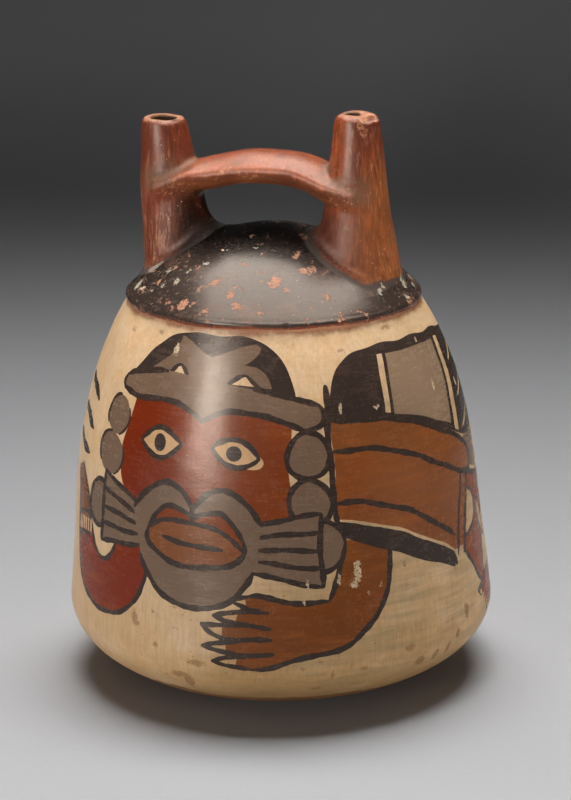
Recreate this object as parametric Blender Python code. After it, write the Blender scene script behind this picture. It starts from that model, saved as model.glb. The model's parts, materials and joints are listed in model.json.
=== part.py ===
"""Double spout vessel: a hollow, hand-built pottery bottle with two spouts joined by a strap handle.

The vessel is one fired piece, so it is one node.  X runs through the two spouts, the painted front
faces -Y and the underside rests on Z = 0.  All sizes are metres.
"""
import math

import bmesh
import bpy

# ---- driving dimensions -----------------------------------------------------------------------
FOOT_RADIUS = 0.030            # flat middle of the rounded underside
WIDEST_RADIUS = 0.0734
WIDEST_HEIGHT = 0.026
RIM_RADIUS = 0.0506            # edge of the domed top, standing a little proud of the wall
RIM_HEIGHT = 0.1323            # middle of the rounded rim edge
RIM_ROUNDING = 0.0014
RIM_OVERHANG = 0.0007
DOME_RADIUS = 0.0703           # the domed top is a cap of this sphere
DOME_APEX = 0.1544

WALL = 0.0052                  # wall of the body
FLOOR_THICKNESS = 0.0062
DOME_THICKNESS = 0.0052
FLOOR_INSET = 0.006            # the flat floor inside is this much smaller than the flat underside
SHOULDER_INSET = 0.004         # step inwards where the cavity's wall meets the inside of the dome

# The vessel leans to -X above its widest ring, by this much sideways for each unit of height.
LEAN = 0.012

# The outer wall between the widest ring and the rim: (height, radius) stations on a smooth curve.
WALL_STATIONS = (
    (WIDEST_HEIGHT, WIDEST_RADIUS),
    (0.050, 0.0707),
    (0.082, 0.0670),
    (0.104, 0.0621),
    (0.120, 0.0559),
    (RIM_HEIGHT - RIM_ROUNDING, RIM_RADIUS - RIM_OVERHANG),
)

# Spouts: tapering tubes.  Stations are (depth below the lip, outer radius).
LEFT_SPOUT_STATIONS = (
    (0.0012, 0.0071),
    (0.0110, 0.0088),
    (0.0210, 0.0102),
    (0.0320, 0.0110),
    (0.0420, 0.0118),
    (0.0560, 0.0126),
)
RIGHT_SPOUT_STATIONS = (
    (0.0014, 0.0069),
    (0.0140, 0.0088),
    (0.0250, 0.0101),
    (0.0350, 0.0115),
    (0.0450, 0.0135),
    (0.0600, 0.0164),
)
SPOUT_STEPS = 11
LIP_ROUNDING = 0.0013
LIP_LAND_RADIUS = 0.0060       # outer edge of the flat, worn lip
BORE_TAPER = 0.035             # the bores widen downwards by this much radius for each unit of depth
BORE_DEPTH_IN_DOME = 0.022     # the bore cutters start this far below the inside of the apex
BORE_CLEARANCE = 0.002         # and end this far above the lips
BORE_STEPS = 5

# On the side facing the middle of the dome each foot swings out into a web.
WEB_HEIGHT = 0.1510            # the web is full from here down
WEB_REACH = 0.0085             # and dies out this far above

# name, stations, x at the foot, x at the lip, lip height, web size
SPOUTS = (
    ("left", LEFT_SPOUT_STATIONS, -0.0338, -0.0388, 0.1902, 0.0080),
    ("right", RIGHT_SPOUT_STATIONS, 0.0303, 0.0306, 0.1950, 0.0055),
)
# The bores run a little off the middle: radius at the lip, offset along X at the foot and at the lip.
BORES = {
    "left": (0.0049, 0.0, 0.0007),
    "right": (0.0038, -0.0008, -0.0008),
}
SPOUT_FOOT_HEIGHT = 0.1420     # height at which the x at the foot is given

# Strap handle between the spouts: (x, height of the crown, half width), joined by a smooth curve.
STRAP_STATIONS = (
    (-0.0390, 0.1695, 0.0088),
    (-0.0250, 0.1748, 0.0104),
    (-0.0120, 0.1793, 0.0106),
    (0.0010, 0.1808, 0.0106),
    (0.0130, 0.1795, 0.0106),
    (0.0240, 0.1750, 0.0104),
    (0.0330, 0.1700, 0.0086),
)
STRAP_THICKNESS = 0.0086       # at the crown of its section
STRAP_EDGE_THICKNESS = 0.0066
STRAP_FRONT_DROP = 0.0024      # how far the front edge lies below the crown
STRAP_BACK_DROP = 0.0012
STRAP_EDGE_ROUNDING = 0.0016
STRAP_STEPS = 20
SECTION_STEPS = 6

BODY_SEGMENTS = 64
CAVITY_SEGMENTS = 44
SPOUT_SEGMENTS = 28
BORE_SEGMENTS = 20


# ---- curves -----------------------------------------------------------------------------------
def smooth_through(stations, count):
    """Points evenly spaced in parameter on a smooth curve through the stations."""
    points = [stations[0], *stations, stations[-1]]
    spans = len(stations) - 1
    result = []
    for step in range(count + 1):
        place = step / count * spans
        span = min(int(place), spans - 1)
        t = place - span
        a, b, c, d = points[span:span + 4]
        result.append(tuple(
            0.5 * (2 * q + (r - p) * t + (2 * p - 5 * q + 4 * r - s) * t * t
                   + (3 * q - p - 3 * r + s) * t * t * t)
            for p, q, r, s in zip(a, b, c, d)))
    return result


def arc(centre, radii, start, end, steps):
    """Points on an ellipse arc; angles in degrees, measured from +radius towards +height."""
    angles = [math.radians(start + (end - start) * i / steps) for i in range(steps + 1)]
    return [(centre[0] + radii[0] * math.cos(a), centre[1] + radii[1] * math.sin(a)) for a in angles]


def lean(point):
    """Moves a point sideways with the lean of the hand-built body."""
    x, y, z = point
    return (x - LEAN * max(0.0, z - WIDEST_HEIGHT), y, z)


# ---- profiles, as (radius, height) from the underside up to the axis at the top ------------------
def outer_profile():
    base = arc((FOOT_RADIUS, WIDEST_HEIGHT), (WIDEST_RADIUS - FOOT_RADIUS, WIDEST_HEIGHT), -90, 0, 9)
    wall = [(radius, height) for height, radius in smooth_through(WALL_STATIONS, 14)]
    rim = arc((RIM_RADIUS - RIM_ROUNDING, RIM_HEIGHT), (RIM_ROUNDING, RIM_ROUNDING), -25, 68, 4)
    centre = DOME_APEX - DOME_RADIUS
    edge = rim[-1][0] - RIM_ROUNDING / 2
    start = math.degrees(math.acos(edge / DOME_RADIUS))
    dome = arc((0.0, centre), (DOME_RADIUS, DOME_RADIUS), start, 90, 10)[:-1]
    return base + wall[1:] + rim + dome, DOME_APEX


def inner_profile():
    foot = FOOT_RADIUS - FLOOR_INSET
    widest = WIDEST_RADIUS - WALL
    base = arc((foot, WIDEST_HEIGHT), (widest - foot, WIDEST_HEIGHT - FLOOR_THICKNESS), -90, 0, 5)
    stations = [(height, radius - WALL) for height, radius in WALL_STATIONS[:-1]]
    wall = [(radius, height) for height, radius in smooth_through(stations, 7)]
    centre = DOME_APEX - DOME_RADIUS
    inside = DOME_RADIUS - DOME_THICKNESS
    edge = wall[-1][0] - SHOULDER_INSET
    dome = arc((0.0, centre), (inside, inside), math.degrees(math.acos(edge / inside)), 90, 6)[:-1]
    return base + wall[1:] + dome, centre + inside


# ---- mesh building ----------------------------------------------------------------------------
def object_from(bm, name, material):
    bmesh.ops.recalc_face_normals(bm, faces=bm.faces)
    mesh = bpy.data.meshes.new(name)
    bm.to_mesh(mesh)
    bm.free()
    mesh.materials.append(material)
    obj = bpy.data.objects.new(name, mesh)
    bpy.context.collection.objects.link(obj)
    return obj


def loft(bm, rings):
    """Joins equal rings of points with faces and closes the first ring."""
    rows = [[bm.verts.new(lean(point)) for point in ring] for ring in rings]
    for low, high in zip(rows, rows[1:]):
        count = len(low)
        for i in range(count):
            j = (i + 1) % count
            bm.faces.new((low[i], low[j], high[j], high[i]))
    bm.faces.new(rows[0])
    return rows


def circle(x, y, z, radius, segments):
    turns = [2 * math.pi * i / segments for i in range(segments)]
    return [(x + radius * math.cos(a), y + radius * math.sin(a), z) for a in turns]


def turned_solid(name, profile, apex, segments, material):
    """A closed solid of revolution with a flat bottom and a pointed fan at its top."""
    bm = bmesh.new()
    rows = loft(bm, [circle(0, 0, z, r, segments) for r, z in profile])
    top = bm.verts.new(lean((0, 0, apex)))
    last = rows[-1]
    for i in range(segments):
        bm.faces.new((last[i], last[(i + 1) % segments], top))
    return object_from(bm, name, material)


def tube_solid(name, rings, material):
    """A closed solid lofted through rings that each carry their own centre and radius."""
    bm = bmesh.new()
    rows = loft(bm, rings)
    bm.faces.new(rows[-1])
    return object_from(bm, name, material)


def rise_share(spout, height):
    """0 at the spout's foot and below it, 1 at its lip."""
    lip_z = spout[4]
    return max((height - SPOUT_FOOT_HEIGHT) / (lip_z - SPOUT_FOOT_HEIGHT), 0.0)


def spout_axis(spout, height):
    _, _, foot_x, lip_x, _, _ = spout
    return foot_x + (lip_x - foot_x) * rise_share(spout, height)


def spout_ring(spout, height, radius):
    """A level ring of the spout, widened towards the middle of the dome where the web is."""
    web = spout[5]
    share = min(max(1 - (height - WEB_HEIGHT) / WEB_REACH, 0.0), 1.0)
    extra = web * share * share
    axis = spout_axis(spout, height)
    inward = -math.copysign(1.0, axis)
    points = []
    for x, y, z in circle(0, 0, height, radius, SPOUT_SEGMENTS):
        facing = max(0.0, inward * x / radius)
        points.append((axis + x + inward * extra * facing, y, z))
    return points


def spout_solid(spout, material):
    name, stations, _, _, lip_z, _ = spout
    rings = []
    for depth, radius in reversed(smooth_through(stations, SPOUT_STEPS)):
        rings.append(spout_ring(spout, lip_z - depth, radius))
    side = stations[0][1]
    lip = arc((LIP_LAND_RADIUS, lip_z - LIP_ROUNDING), (side - LIP_LAND_RADIUS, LIP_ROUNDING), 40, 90, 2)
    for radius, z in lip:
        rings.append(spout_ring(spout, z, radius))
    return tube_solid(name + "_spout", rings, material)


def bore_solid(spout, material):
    name, _, _, _, lip_z, _ = spout
    bore_radius, foot_offset, lip_offset = BORES[name]
    bottom = DOME_APEX - DOME_THICKNESS - BORE_DEPTH_IN_DOME
    top = lip_z + BORE_CLEARANCE
    rings = []
    for i in range(BORE_STEPS + 1):
        z = bottom + (top - bottom) * i / BORE_STEPS
        radius = bore_radius + BORE_TAPER * max(0.0, lip_z - z)
        offset = foot_offset + (lip_offset - foot_offset) * rise_share(spout, z)
        rings.append(circle(spout_axis(spout, z) + offset, 0, z, radius, BORE_SEGMENTS))
    return tube_solid(name + "_bore", rings, material)


def strap_drop(side):
    """How far the strap's top lies below its crown, at a place from -1 (front edge) to 1 (back)."""
    return (STRAP_FRONT_DROP if side < 0 else STRAP_BACK_DROP) * side * side


def strap_section(x, crown, half, tilt):
    """One closed section of the strap, square to the strap's run."""
    sides = [2 * i / SECTION_STEPS - 1 for i in range(SECTION_STEPS + 1)]
    bulge = STRAP_EDGE_ROUNDING / 2
    outline = []
    for side in sides:
        rounding = bulge * abs(side) ** 8
        outline.append((side * half, -strap_drop(side) - rounding))
    outline.append((half + bulge, -STRAP_BACK_DROP - STRAP_EDGE_THICKNESS / 2))
    for side in reversed(sides):
        thick = STRAP_THICKNESS + (STRAP_EDGE_THICKNESS - STRAP_THICKNESS) * side * side
        rounding = bulge * abs(side) ** 8
        outline.append((side * half, -strap_drop(side) - thick + rounding))
    outline.append((-half - bulge, -STRAP_FRONT_DROP - STRAP_EDGE_THICKNESS / 2))
    return [(x - math.sin(tilt) * w, y, crown + math.cos(tilt) * w) for y, w in outline]


def strap_solid(material):
    line = smooth_through(STRAP_STATIONS, STRAP_STEPS)
    rings = []
    for i, (x, crown, half) in enumerate(line):
        before = line[max(i - 1, 0)]
        after = line[min(i + 1, len(line) - 1)]
        tilt = math.atan2(after[1] - before[1], after[0] - before[0])
        rings.append(strap_section(x, crown, half, tilt))
    return tube_solid("strap", rings, material)


# ---- assembly ---------------------------------------------------------------------------------
def pottery():
    material = bpy.data.materials.new("painted_pottery")
    material.use_nodes = True
    shader = material.node_tree.nodes["Principled BSDF"]
    shader.inputs["Base Color"].default_value = (0.62, 0.42, 0.27, 1.0)
    shader.inputs["Roughness"].default_value = 0.42
    shader.inputs["Metallic"].default_value = 0.0
    return material


def combine(target, other, operation):
    other.hide_render = True
    other.display_type = "WIRE"
    modifier = target.modifiers.new(other.name, "BOOLEAN")
    modifier.object = other
    modifier.operation = operation
    modifier.solver = "EXACT"


def main():
    for obj in list(bpy.data.objects):
        bpy.data.objects.remove(obj, do_unlink=True)
    clay = pottery()
    vessel = turned_solid("vessel", *outer_profile(), BODY_SEGMENTS, clay)
    for spout in SPOUTS:
        combine(vessel, spout_solid(spout, clay), "UNION")
    combine(vessel, strap_solid(clay), "UNION")
    combine(vessel, turned_solid("cavity", *inner_profile(), CAVITY_SEGMENTS, clay), "DIFFERENCE")
    for spout in SPOUTS:
        combine(vessel, bore_solid(spout, clay), "DIFFERENCE")


main()
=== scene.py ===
import json
import math
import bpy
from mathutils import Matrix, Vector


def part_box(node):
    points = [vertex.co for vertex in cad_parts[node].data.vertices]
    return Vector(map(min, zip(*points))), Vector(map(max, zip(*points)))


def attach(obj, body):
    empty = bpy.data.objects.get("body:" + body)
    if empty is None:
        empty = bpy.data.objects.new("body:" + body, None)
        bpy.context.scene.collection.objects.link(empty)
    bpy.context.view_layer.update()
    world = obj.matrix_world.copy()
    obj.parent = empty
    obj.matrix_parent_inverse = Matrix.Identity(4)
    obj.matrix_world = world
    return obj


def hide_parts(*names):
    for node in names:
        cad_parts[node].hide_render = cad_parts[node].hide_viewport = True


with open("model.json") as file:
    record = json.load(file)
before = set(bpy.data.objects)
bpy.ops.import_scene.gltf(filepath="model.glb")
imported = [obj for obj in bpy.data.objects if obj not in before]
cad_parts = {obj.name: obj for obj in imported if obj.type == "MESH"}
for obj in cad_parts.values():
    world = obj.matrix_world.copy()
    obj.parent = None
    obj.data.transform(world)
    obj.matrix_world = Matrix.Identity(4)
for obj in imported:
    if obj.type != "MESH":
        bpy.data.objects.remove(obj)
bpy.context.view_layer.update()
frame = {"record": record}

from types import SimpleNamespace

import bpy
import numpy as np
from mathutils import Vector
from mathutils.geometry import delaunay_2d_cdt
from mathutils.kdtree import KDTree

# Looks of the double spout vessel: one closed clay mesh with the slip painting laid into its faces.
# Lengths are design millimetres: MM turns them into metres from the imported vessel's own height.
cad_low, cad_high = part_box("vessel")
DESIGN_HEIGHT = 195.0
MM = (cad_high[2] - cad_low[2]) / DESIGN_HEIGHT

# ---- form of the vessel -----------------------------------------------------------------------
FOOT_RADIUS = 30.0
WIDEST_HEIGHT = 26.0
WIDEST_RADIUS = (cad_high[0] - cad_low[0]) / 2 / MM
RIM_RADIUS = 50.6
RIM_HEIGHT = 132.3
RIM_ROUNDING = 1.5
DOME_RADIUS = 70.3
DOME_APEX = 154.4
DOME_CENTRE = DOME_APEX - DOME_RADIUS
WALL = 5.2
FLOOR = 6.2
LEAN = 0.012
WALL_STATIONS = (
    (WIDEST_HEIGHT, WIDEST_RADIUS),
    (50.0, 70.7),
    (82.0, 67.0),
    (104.0, 62.1),
    (120.0, 55.9),
    (130.9, 49.9),
)
SPLIT_HEIGHT = 130.2           # the wall is a painted sheet below this and a carved field above


def lean(z):
    """How far the vessel's axis has moved to the left at a height."""
    return LEAN * np.maximum(z - WIDEST_HEIGHT, 0)


def lip_place(side):
    """The middle of a spout's lip in the unleaned vessel, from the frame's own mount on that lip."""
    mounts = {mount["name"]: mount for mount in frame["record"]["mounts"]}
    x, _, z = mounts[side + "_spout_lip"]["pos_m"]
    return x / MM + lean(z / MM), z / MM


# Spouts: x at the foot; x and height of the lip; radius and offset of the mouth and of the bore under it;
# rounding of the lip; how far the foot swings in towards the dome; the height at which the red slip
# ends on the foot; and (depth under the lip, radius) stations.
SPOUTS = {
    "left": {
        "foot": -33.8, "lip": lip_place("left"), "mouth": (4.2, 0.0), "bore": (4.9, 0.0),
        "round": 1.8, "web": 9.0, "red_from": 139.6,
        "stations": ((0.0, 7.4), (3.0, 8.0), (8.0, 8.7), (13.0, 9.2), (21.0, 10.4), (32.0, 11.2),
                     (42.0, 11.8), (60.0, 12.8)),
    },
    "right": {
        "foot": 30.0, "lip": lip_place("right"), "mouth": (2.4, -1.8), "bore": (3.8, -0.8),
        "round": 3.0, "web": 6.0, "red_from": 140.8,
        "stations": ((0.0, 7.4), (6.0, 8.2), (14.0, 9.1), (25.0, 10.3), (35.0, 11.4), (45.0, 13.3),
                     (62.0, 16.5)),
    },
}
SPOUT_FOOT_HEIGHT = 142.0
MOUTH_DEPTH = 9.0              # the mouth opens into the bore over this depth
BORE_TAPER = 0.035
BORE_BOTTOM = 134.0
CROWN_RISE = 1.3               # the dome stands this much higher in the middle
CROWN_REACH = 20.0

# The strap: x, height of its crown, how far it reaches to the front, and how far that edge falls.
STRAP_STATIONS = (
    (-41.0, 171.0, 13.4, 3.2),
    (-29.0, 175.2, 12.2, 2.4),
    (-22.0, 177.5, 11.1, 3.6),
    (-14.0, 179.6, 10.7, 4.5),
    (-5.0, 180.7, 10.6, 4.7),
    (3.0, 180.9, 10.6, 4.2),
    (10.0, 180.0, 10.6, 3.9),
    (16.0, 178.5, 10.8, 3.8),
    (24.0, 175.3, 11.8, 3.2),
    (34.0, 170.6, 13.2, 0.8),
)
STRAP_BACK = 10.6
STRAP_BACK_FALL = 2.0
STRAP_MIDDLE = -3.0
STRAP_HALF_LENGTH = 36.4
STRAP_THICKNESS = 10.4         # along its crown
STRAP_THINNING = 8.0           # and this much less along its edges
STRAP_ROUNDING = 1.1

# Fillets where two surfaces meet.
FOOT_FILLET = 2.6              # a spout's foot on the dome; its web comes on top towards the middle
STRAP_FILLET = 2.4
BORE_FILLET = 1.5
KNOCK_FILLET = 0.6
MOUTH_FILLET = 1.0


def spline(a, b, c, d, t):
    """Places on the smooth curve between b and c, whose neighbours are a and d; t goes from 0 to 1."""
    bend = (2 * a - 5 * b + 4 * c - d) * t * t + (3 * b - a - 3 * c + d) * t ** 3
    return 0.5 * (2 * b + (c - a) * t + bend)


def smooth_through(stations, count):
    """Points evenly spaced in parameter on a smooth curve through the stations."""
    points = np.array([stations[0], *stations, stations[-1]], float)
    place = np.linspace(0, len(stations) - 1, count + 1)
    span = np.minimum(place.astype(int), len(stations) - 2)
    return spline(*[points[span + k] for k in range(4)], (place - span)[:, None])


def arc(centre, radii, start, end, steps):
    """Points on an ellipse arc, angles in degrees."""
    angles = np.radians(np.linspace(start, end, steps + 1))
    return np.stack([centre[0] + radii[0] * np.cos(angles), centre[1] + radii[1] * np.sin(angles)], 1)


def outer_profile():
    """(radius, height) from the edge of the flat underside to the apex of the dome."""
    base = arc((FOOT_RADIUS, WIDEST_HEIGHT), (WIDEST_RADIUS - FOOT_RADIUS, WIDEST_HEIGHT), -90, 0, 60)
    wall = smooth_through(WALL_STATIONS, 120)[1:, ::-1]
    rim = arc((RIM_RADIUS - RIM_ROUNDING, RIM_HEIGHT), (RIM_ROUNDING, RIM_ROUNDING), -35, 62, 10)
    start = math.degrees(math.acos((rim[-1][0] - 0.8) / DOME_RADIUS))
    dome = arc((0.0, DOME_CENTRE), (DOME_RADIUS, DOME_RADIUS), start, 90, 50)
    return np.vstack([base, wall, rim, dome])


def inner_profile():
    """The same for the hollow, a wall's thickness further in."""
    foot = FOOT_RADIUS - 6.0
    widest = WIDEST_RADIUS - WALL
    base = arc((foot, WIDEST_HEIGHT), (widest - foot, WIDEST_HEIGHT - FLOOR), -90, 0, 40)
    wall = smooth_through([(z, r - WALL) for z, r in WALL_STATIONS[:-1]], 80)[1:, ::-1]
    inside = DOME_RADIUS - WALL
    start = math.degrees(math.acos((wall[-1][0] - 4.0) / inside))
    dome = arc((0.0, DOME_CENTRE), (inside, inside), start, 90, 50)
    return np.vstack([base, wall, dome])


OUTER = outer_profile()
INNER = inner_profile()


def unevenness(angle, z):
    """Hand-built surface: how far the wall stands out at an angle around the axis, in millimetres."""
    belly = np.exp(-((z - 30.0) / 26.0) ** 2)
    slow = 0.22 * np.sin(2 * angle + 0.045 * z + 0.6) + 0.16 * np.sin(3 * angle - 0.06 * z + 2.1)
    quick = 0.07 * np.sin(7 * angle + 0.11 * z + 1.0) + 0.06 * np.sin(11 * angle - 0.16 * z)
    dents = 0.035 * np.sin(23 * angle + 0.35 * z) * np.sin(0.5 * z - 9 * angle)
    return 0.75 * belly * np.cos(angle - math.radians(108)) + slow + quick + dents


# ---- the upper part as a field: negative inside the clay -----------------------------------------
def segment_distance(points, line):
    """Distance from each point to an open polyline."""
    best = np.full(len(points), 1e9)
    for a, b in zip(line[:-1], line[1:]):
        run = b - a
        along = np.clip(((points - a) @ run) / max(run @ run, 1e-12), 0, 1)
        best = np.minimum(best, np.hypot(*(points - a - along[:, None] * run).T))
    return best


def inside_polygon(points, loop):
    """True where a point lies inside a closed polygon."""
    x, y = points[:, 0], points[:, 1]
    inside = np.zeros(len(points), bool)
    for (ax, ay), (bx, by) in zip(loop, np.roll(loop, -1, axis=0)):
        if ay != by:
            crosses = (ay > y) != (by > y)
            inside ^= crosses & (x < (bx - ax) * (y - ay) / (by - ay) + ax)
    return inside


class ProfileTable:
    """Signed distance to a turned profile, read from a fine (radius, height) table."""
    STEP = 0.4
    LOW = 112.0
    SIZE = (160, 225)

    def __init__(self, profile):
        radii = np.arange(self.SIZE[0]) * self.STEP
        heights = self.LOW + np.arange(self.SIZE[1]) * self.STEP
        grid = np.stack(np.meshgrid(radii, heights, indexing="ij"), -1).reshape(-1, 2)
        near = profile[profile[:, 1] > self.LOW - 20]
        closed = np.vstack([profile, [0.0, 0.0]])
        distance = segment_distance(grid, near)
        self.table = np.where(inside_polygon(grid, closed), -distance, distance).reshape(self.SIZE)

    def __call__(self, radius, height):
        i = np.clip(radius / self.STEP, 0, self.SIZE[0] - 1.001)
        j = np.clip((height - self.LOW) / self.STEP, 0, self.SIZE[1] - 1.001)
        i0, j0 = i.astype(int), j.astype(int)
        a, b = i - i0, j - j0
        t = self.table
        return ((t[i0, j0] * (1 - a) + t[i0 + 1, j0] * a) * (1 - b)
                + (t[i0, j0 + 1] * (1 - a) + t[i0 + 1, j0 + 1] * a) * b)


outer_table = ProfileTable(OUTER)
inner_table = ProfileTable(INNER)
STRAP_LINE = smooth_through(STRAP_STATIONS, 120)
STRAP_SLOPE = np.gradient(STRAP_LINE[:, 1], STRAP_LINE[:, 0])


def soft_min(a, b, blend):
    """The smaller of two fields, with a fillet of about the blend's size where they meet."""
    overlap = np.maximum(blend - np.abs(a - b), 0.0)
    return np.minimum(a, b) - overlap * overlap / (4 * blend)


def soft_max(a, b, blend):
    """The larger of two fields, with the edge between them rounded."""
    return -soft_min(-a, -b, blend)


def spout_axis(spout, z):
    """x of a spout's middle at a height."""
    share = np.clip((z - SPOUT_FOOT_HEIGHT) / (spout["lip"][1] - SPOUT_FOOT_HEIGHT), 0, 1.1)
    return spout["foot"] + (spout["lip"][0] - spout["foot"]) * share


def spout_radius(spout, z):
    """Outer radius of a spout at a height."""
    depths, radii = np.array(spout["stations"]).T
    return np.interp(spout["lip"][1] - z, depths, radii)


def spout_field(spout, x, y, z):
    """Field of one spout's outside, and how squarely a place faces the middle of the dome."""
    across = x - spout_axis(spout, z)
    distance = np.hypot(across, y) + 1e-6
    turn = np.arctan2(y, across)
    radius = spout_radius(spout, z)
    radius = radius + 0.12 * np.sin(2 * turn + 0.09 * z) + 0.07 * np.sin(3 * turn - 0.21 * z + 1.0)
    side = (distance - radius) * 0.98
    top = z - spout["lip"][1] + 0.15 + 0.16 * np.sin(turn + 2.4) + 0.10 * np.sin(3 * turn + spout["foot"])
    facing = np.clip(-math.copysign(1.0, spout["foot"]) * across / distance, 0, 1)
    return soft_max(side, top, spout["round"]), facing


def bore_field(spout, x, y, z):
    """Field of the channel down a spout: negative in the channel."""
    depth = spout["lip"][1] - z
    mouth_radius, mouth_offset = spout["mouth"]
    bore_radius, bore_offset = spout["bore"]
    share = np.clip(depth / MOUTH_DEPTH, 0, 1)
    offset = mouth_offset + (bore_offset - mouth_offset) * share
    radius = mouth_radius + (bore_radius + BORE_TAPER * depth - mouth_radius) * share
    tube = np.hypot(x - spout_axis(spout, z) - offset, y) - radius
    return np.maximum(tube, BORE_BOTTOM - z)


def strap_field(x, y, z):
    """A strap that arches from spout to spout, convex above and below, with a ridge along each side."""
    line_x = STRAP_LINE[:, 0]
    crown = np.interp(x, line_x, STRAP_LINE[:, 1])
    half = np.where(y < 0, np.interp(x, line_x, STRAP_LINE[:, 2]), STRAP_BACK)
    slope = np.interp(x, line_x, STRAP_SLOPE)
    above = (z - crown) / np.sqrt(1 + slope * slope)
    side = np.clip(y / half, -1.05, 1.05)
    fall = np.where(y < 0, np.interp(x, line_x, STRAP_LINE[:, 3]), STRAP_BACK_FALL)
    drop = fall * side * side + 0.15 * np.sin(0.35 * x + 1)
    thick = STRAP_THICKNESS - STRAP_THINNING * np.abs(side) ** 3
    qy = np.abs(y) - (half + 0.4 - STRAP_ROUNDING)
    qz = np.abs(above + drop + thick / 2) - (thick / 2 - STRAP_ROUNDING)
    body = np.hypot(np.maximum(qy, 0), np.maximum(qz, 0)) + np.minimum(np.maximum(qy, qz), 0) - STRAP_ROUNDING
    return soft_max(body, np.abs(x - STRAP_MIDDLE) - STRAP_HALF_LENGTH, STRAP_FILLET)


# Knocks and losses: (x, y, z, radius) of small balls taken out of the clay, in unleaned design space.
KNOCKS = (
    (35.6, -4.6, 195.4, 2.6),
    (36.6, -1.2, 194.6, 2.0),
    (34.5, -8.1, 192.6, 1.8),
    (35.9, -7.4, 191.4, 1.7),
    (35.5, -7.7, 189.4, 1.4),
    (-43.6, -5.2, 190.9, 1.6),
    (-36.0, -7.4, 190.6, 1.3),
    (-33.2, -2.0, 190.8, 1.2),
    (-19.0, -47.9, 133.0, 1.1),
    (21.0, -47.1, 133.2, 0.9),
)


def off_ball(ball, x, y, z):
    """Distance to a ball (x, y, z, radius)."""
    ball_x, ball_y, ball_z, radius = ball
    return np.sqrt((x - ball_x) ** 2 + (y - ball_y) ** 2 + (z - ball_z) ** 2) - radius


def clay_field(points):
    """Negative inside the clay, for places above the split height."""
    x, y, z = points.T
    x = x + lean(z)
    distance = np.hypot(x, y)
    angle = np.arctan2(x, -y)
    swell = unevenness(angle, z) * np.clip((distance - 20) / 30, 0, 1)
    solid = outer_table(distance - swell, z - CROWN_RISE * np.exp(-(distance / CROWN_REACH) ** 2))
    hollow = inner_table(distance - swell, z)
    for spout in SPOUTS.values():
        tube, facing = spout_field(spout, x, y, z)
        solid = soft_min(solid, tube, FOOT_FILLET + spout["web"] * facing * facing)
        hollow = soft_min(hollow, bore_field(spout, x, y, z), BORE_FILLET)
    tubes = np.minimum(*[spout_field(spout, x, y, z)[0] for spout in SPOUTS.values()])
    solid = np.minimum(solid, soft_min(tubes, strap_field(x, y, z), STRAP_FILLET))
    for ball in KNOCKS:
        solid = soft_max(solid, -off_ball(ball, x, y, z), KNOCK_FILLET)
    return soft_max(solid, -hollow, MOUTH_FILLET)


def surface_net(field, origin, step):
    """Vertices and quads of the field's zero surface: one vertex for each cell that the surface crosses."""
    solid = field < 0
    cells = tuple(n - 1 for n in field.shape)

    def corner(array, offset):
        return array[tuple(slice(o, o + n) for o, n in zip(offset, cells))]

    offsets = [(i, j, k) for i in (0, 1) for j in (0, 1) for k in (0, 1)]
    filled = sum(corner(solid, offset).astype(np.int8) for offset in offsets)
    active = np.argwhere((filled > 0) & (filled < 8))
    index = np.full(cells, -1, int)
    index[tuple(active.T)] = np.arange(len(active))
    total = np.zeros((len(active), 3))
    crossings = np.zeros(len(active))
    for axis in range(3):
        for offset in offsets:
            if offset[axis] == 0:
                a = active + offset
                b = a.copy()
                b[:, axis] += 1
                fa, fb = field[tuple(a.T)], field[tuple(b.T)]
                cut = (fa < 0) != (fb < 0)
                share = np.where(cut, fa / np.where(cut, fa - fb, 1.0), 0.0)
                place = a + share[:, None] * (b - a)
                total[cut] += place[cut]
                crossings += cut
    vertices = origin + step * total / crossings[:, None]
    faces = []
    for axis in range(3):
        one, two = [n for n in range(3) if n != axis]
        low = [slice(None)] * 3
        high = [slice(None)] * 3
        low[axis], high[axis] = slice(0, -1), slice(1, None)
        start = solid[tuple(low)]
        change = np.argwhere(start != solid[tuple(high)])
        inner = (change[:, one] > 0) & (change[:, two] > 0)
        inner &= (change[:, one] < cells[one]) & (change[:, two] < cells[two])
        change = change[inner]
        around = []
        for back_one, back_two in ((1, 1), (0, 1), (0, 0), (1, 0)):
            cell = change.copy()
            cell[:, one] -= back_one
            cell[:, two] -= back_two
            around.append(index[tuple(cell.T)])
        quads = np.stack(around, 1)
        outward = start[tuple(change.T)]
        if axis == 1:
            outward = ~outward
        faces.append(np.where(outward[:, None], quads, quads[:, ::-1]))
    return vertices, np.vstack(faces)


def gradient(points, step=0.05):
    """The clay field's slope at each point."""
    columns = []
    for axis in range(3):
        shift = np.zeros(3)
        shift[axis] = step
        columns.append((clay_field(points + shift) - clay_field(points - shift)) / (2 * step))
    return np.stack(columns, 1)


def settle(points, rounds=3):
    """Moves points onto the field's zero surface."""
    for _ in range(rounds):
        slope = gradient(points)
        size = np.maximum((slope * slope).sum(1), 0.05)
        move = (clay_field(points) / size)[:, None] * slope
        points = points - np.clip(move, -0.5, 0.5)
    return points


# ---- the painted wall, unrolled: u runs round the ring, t runs up the profile ---------------------
NOWHERE = -30.0                # an edge attribute's value far outside its zone
RING = 70.0                    # millimetres of u for each radian
FULL_RING = 2 * math.pi * RING
BASE_SEGMENTS = 120
SPACING = 0.9                  # between the points of a painted edge, in mm
LATTICE = 2.3                  # between the free points of the outer wall
INNER_LATTICE = 7.0
ROW_SHARE = 0.87               # the rows of free points are this share of the lattice apart
FREE_SHARE = 0.52              # and the points keep this share of it away from the fixed ones
MARK_GAP = 0.45                # the points of a mark keep this far away from the fixed ones


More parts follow.
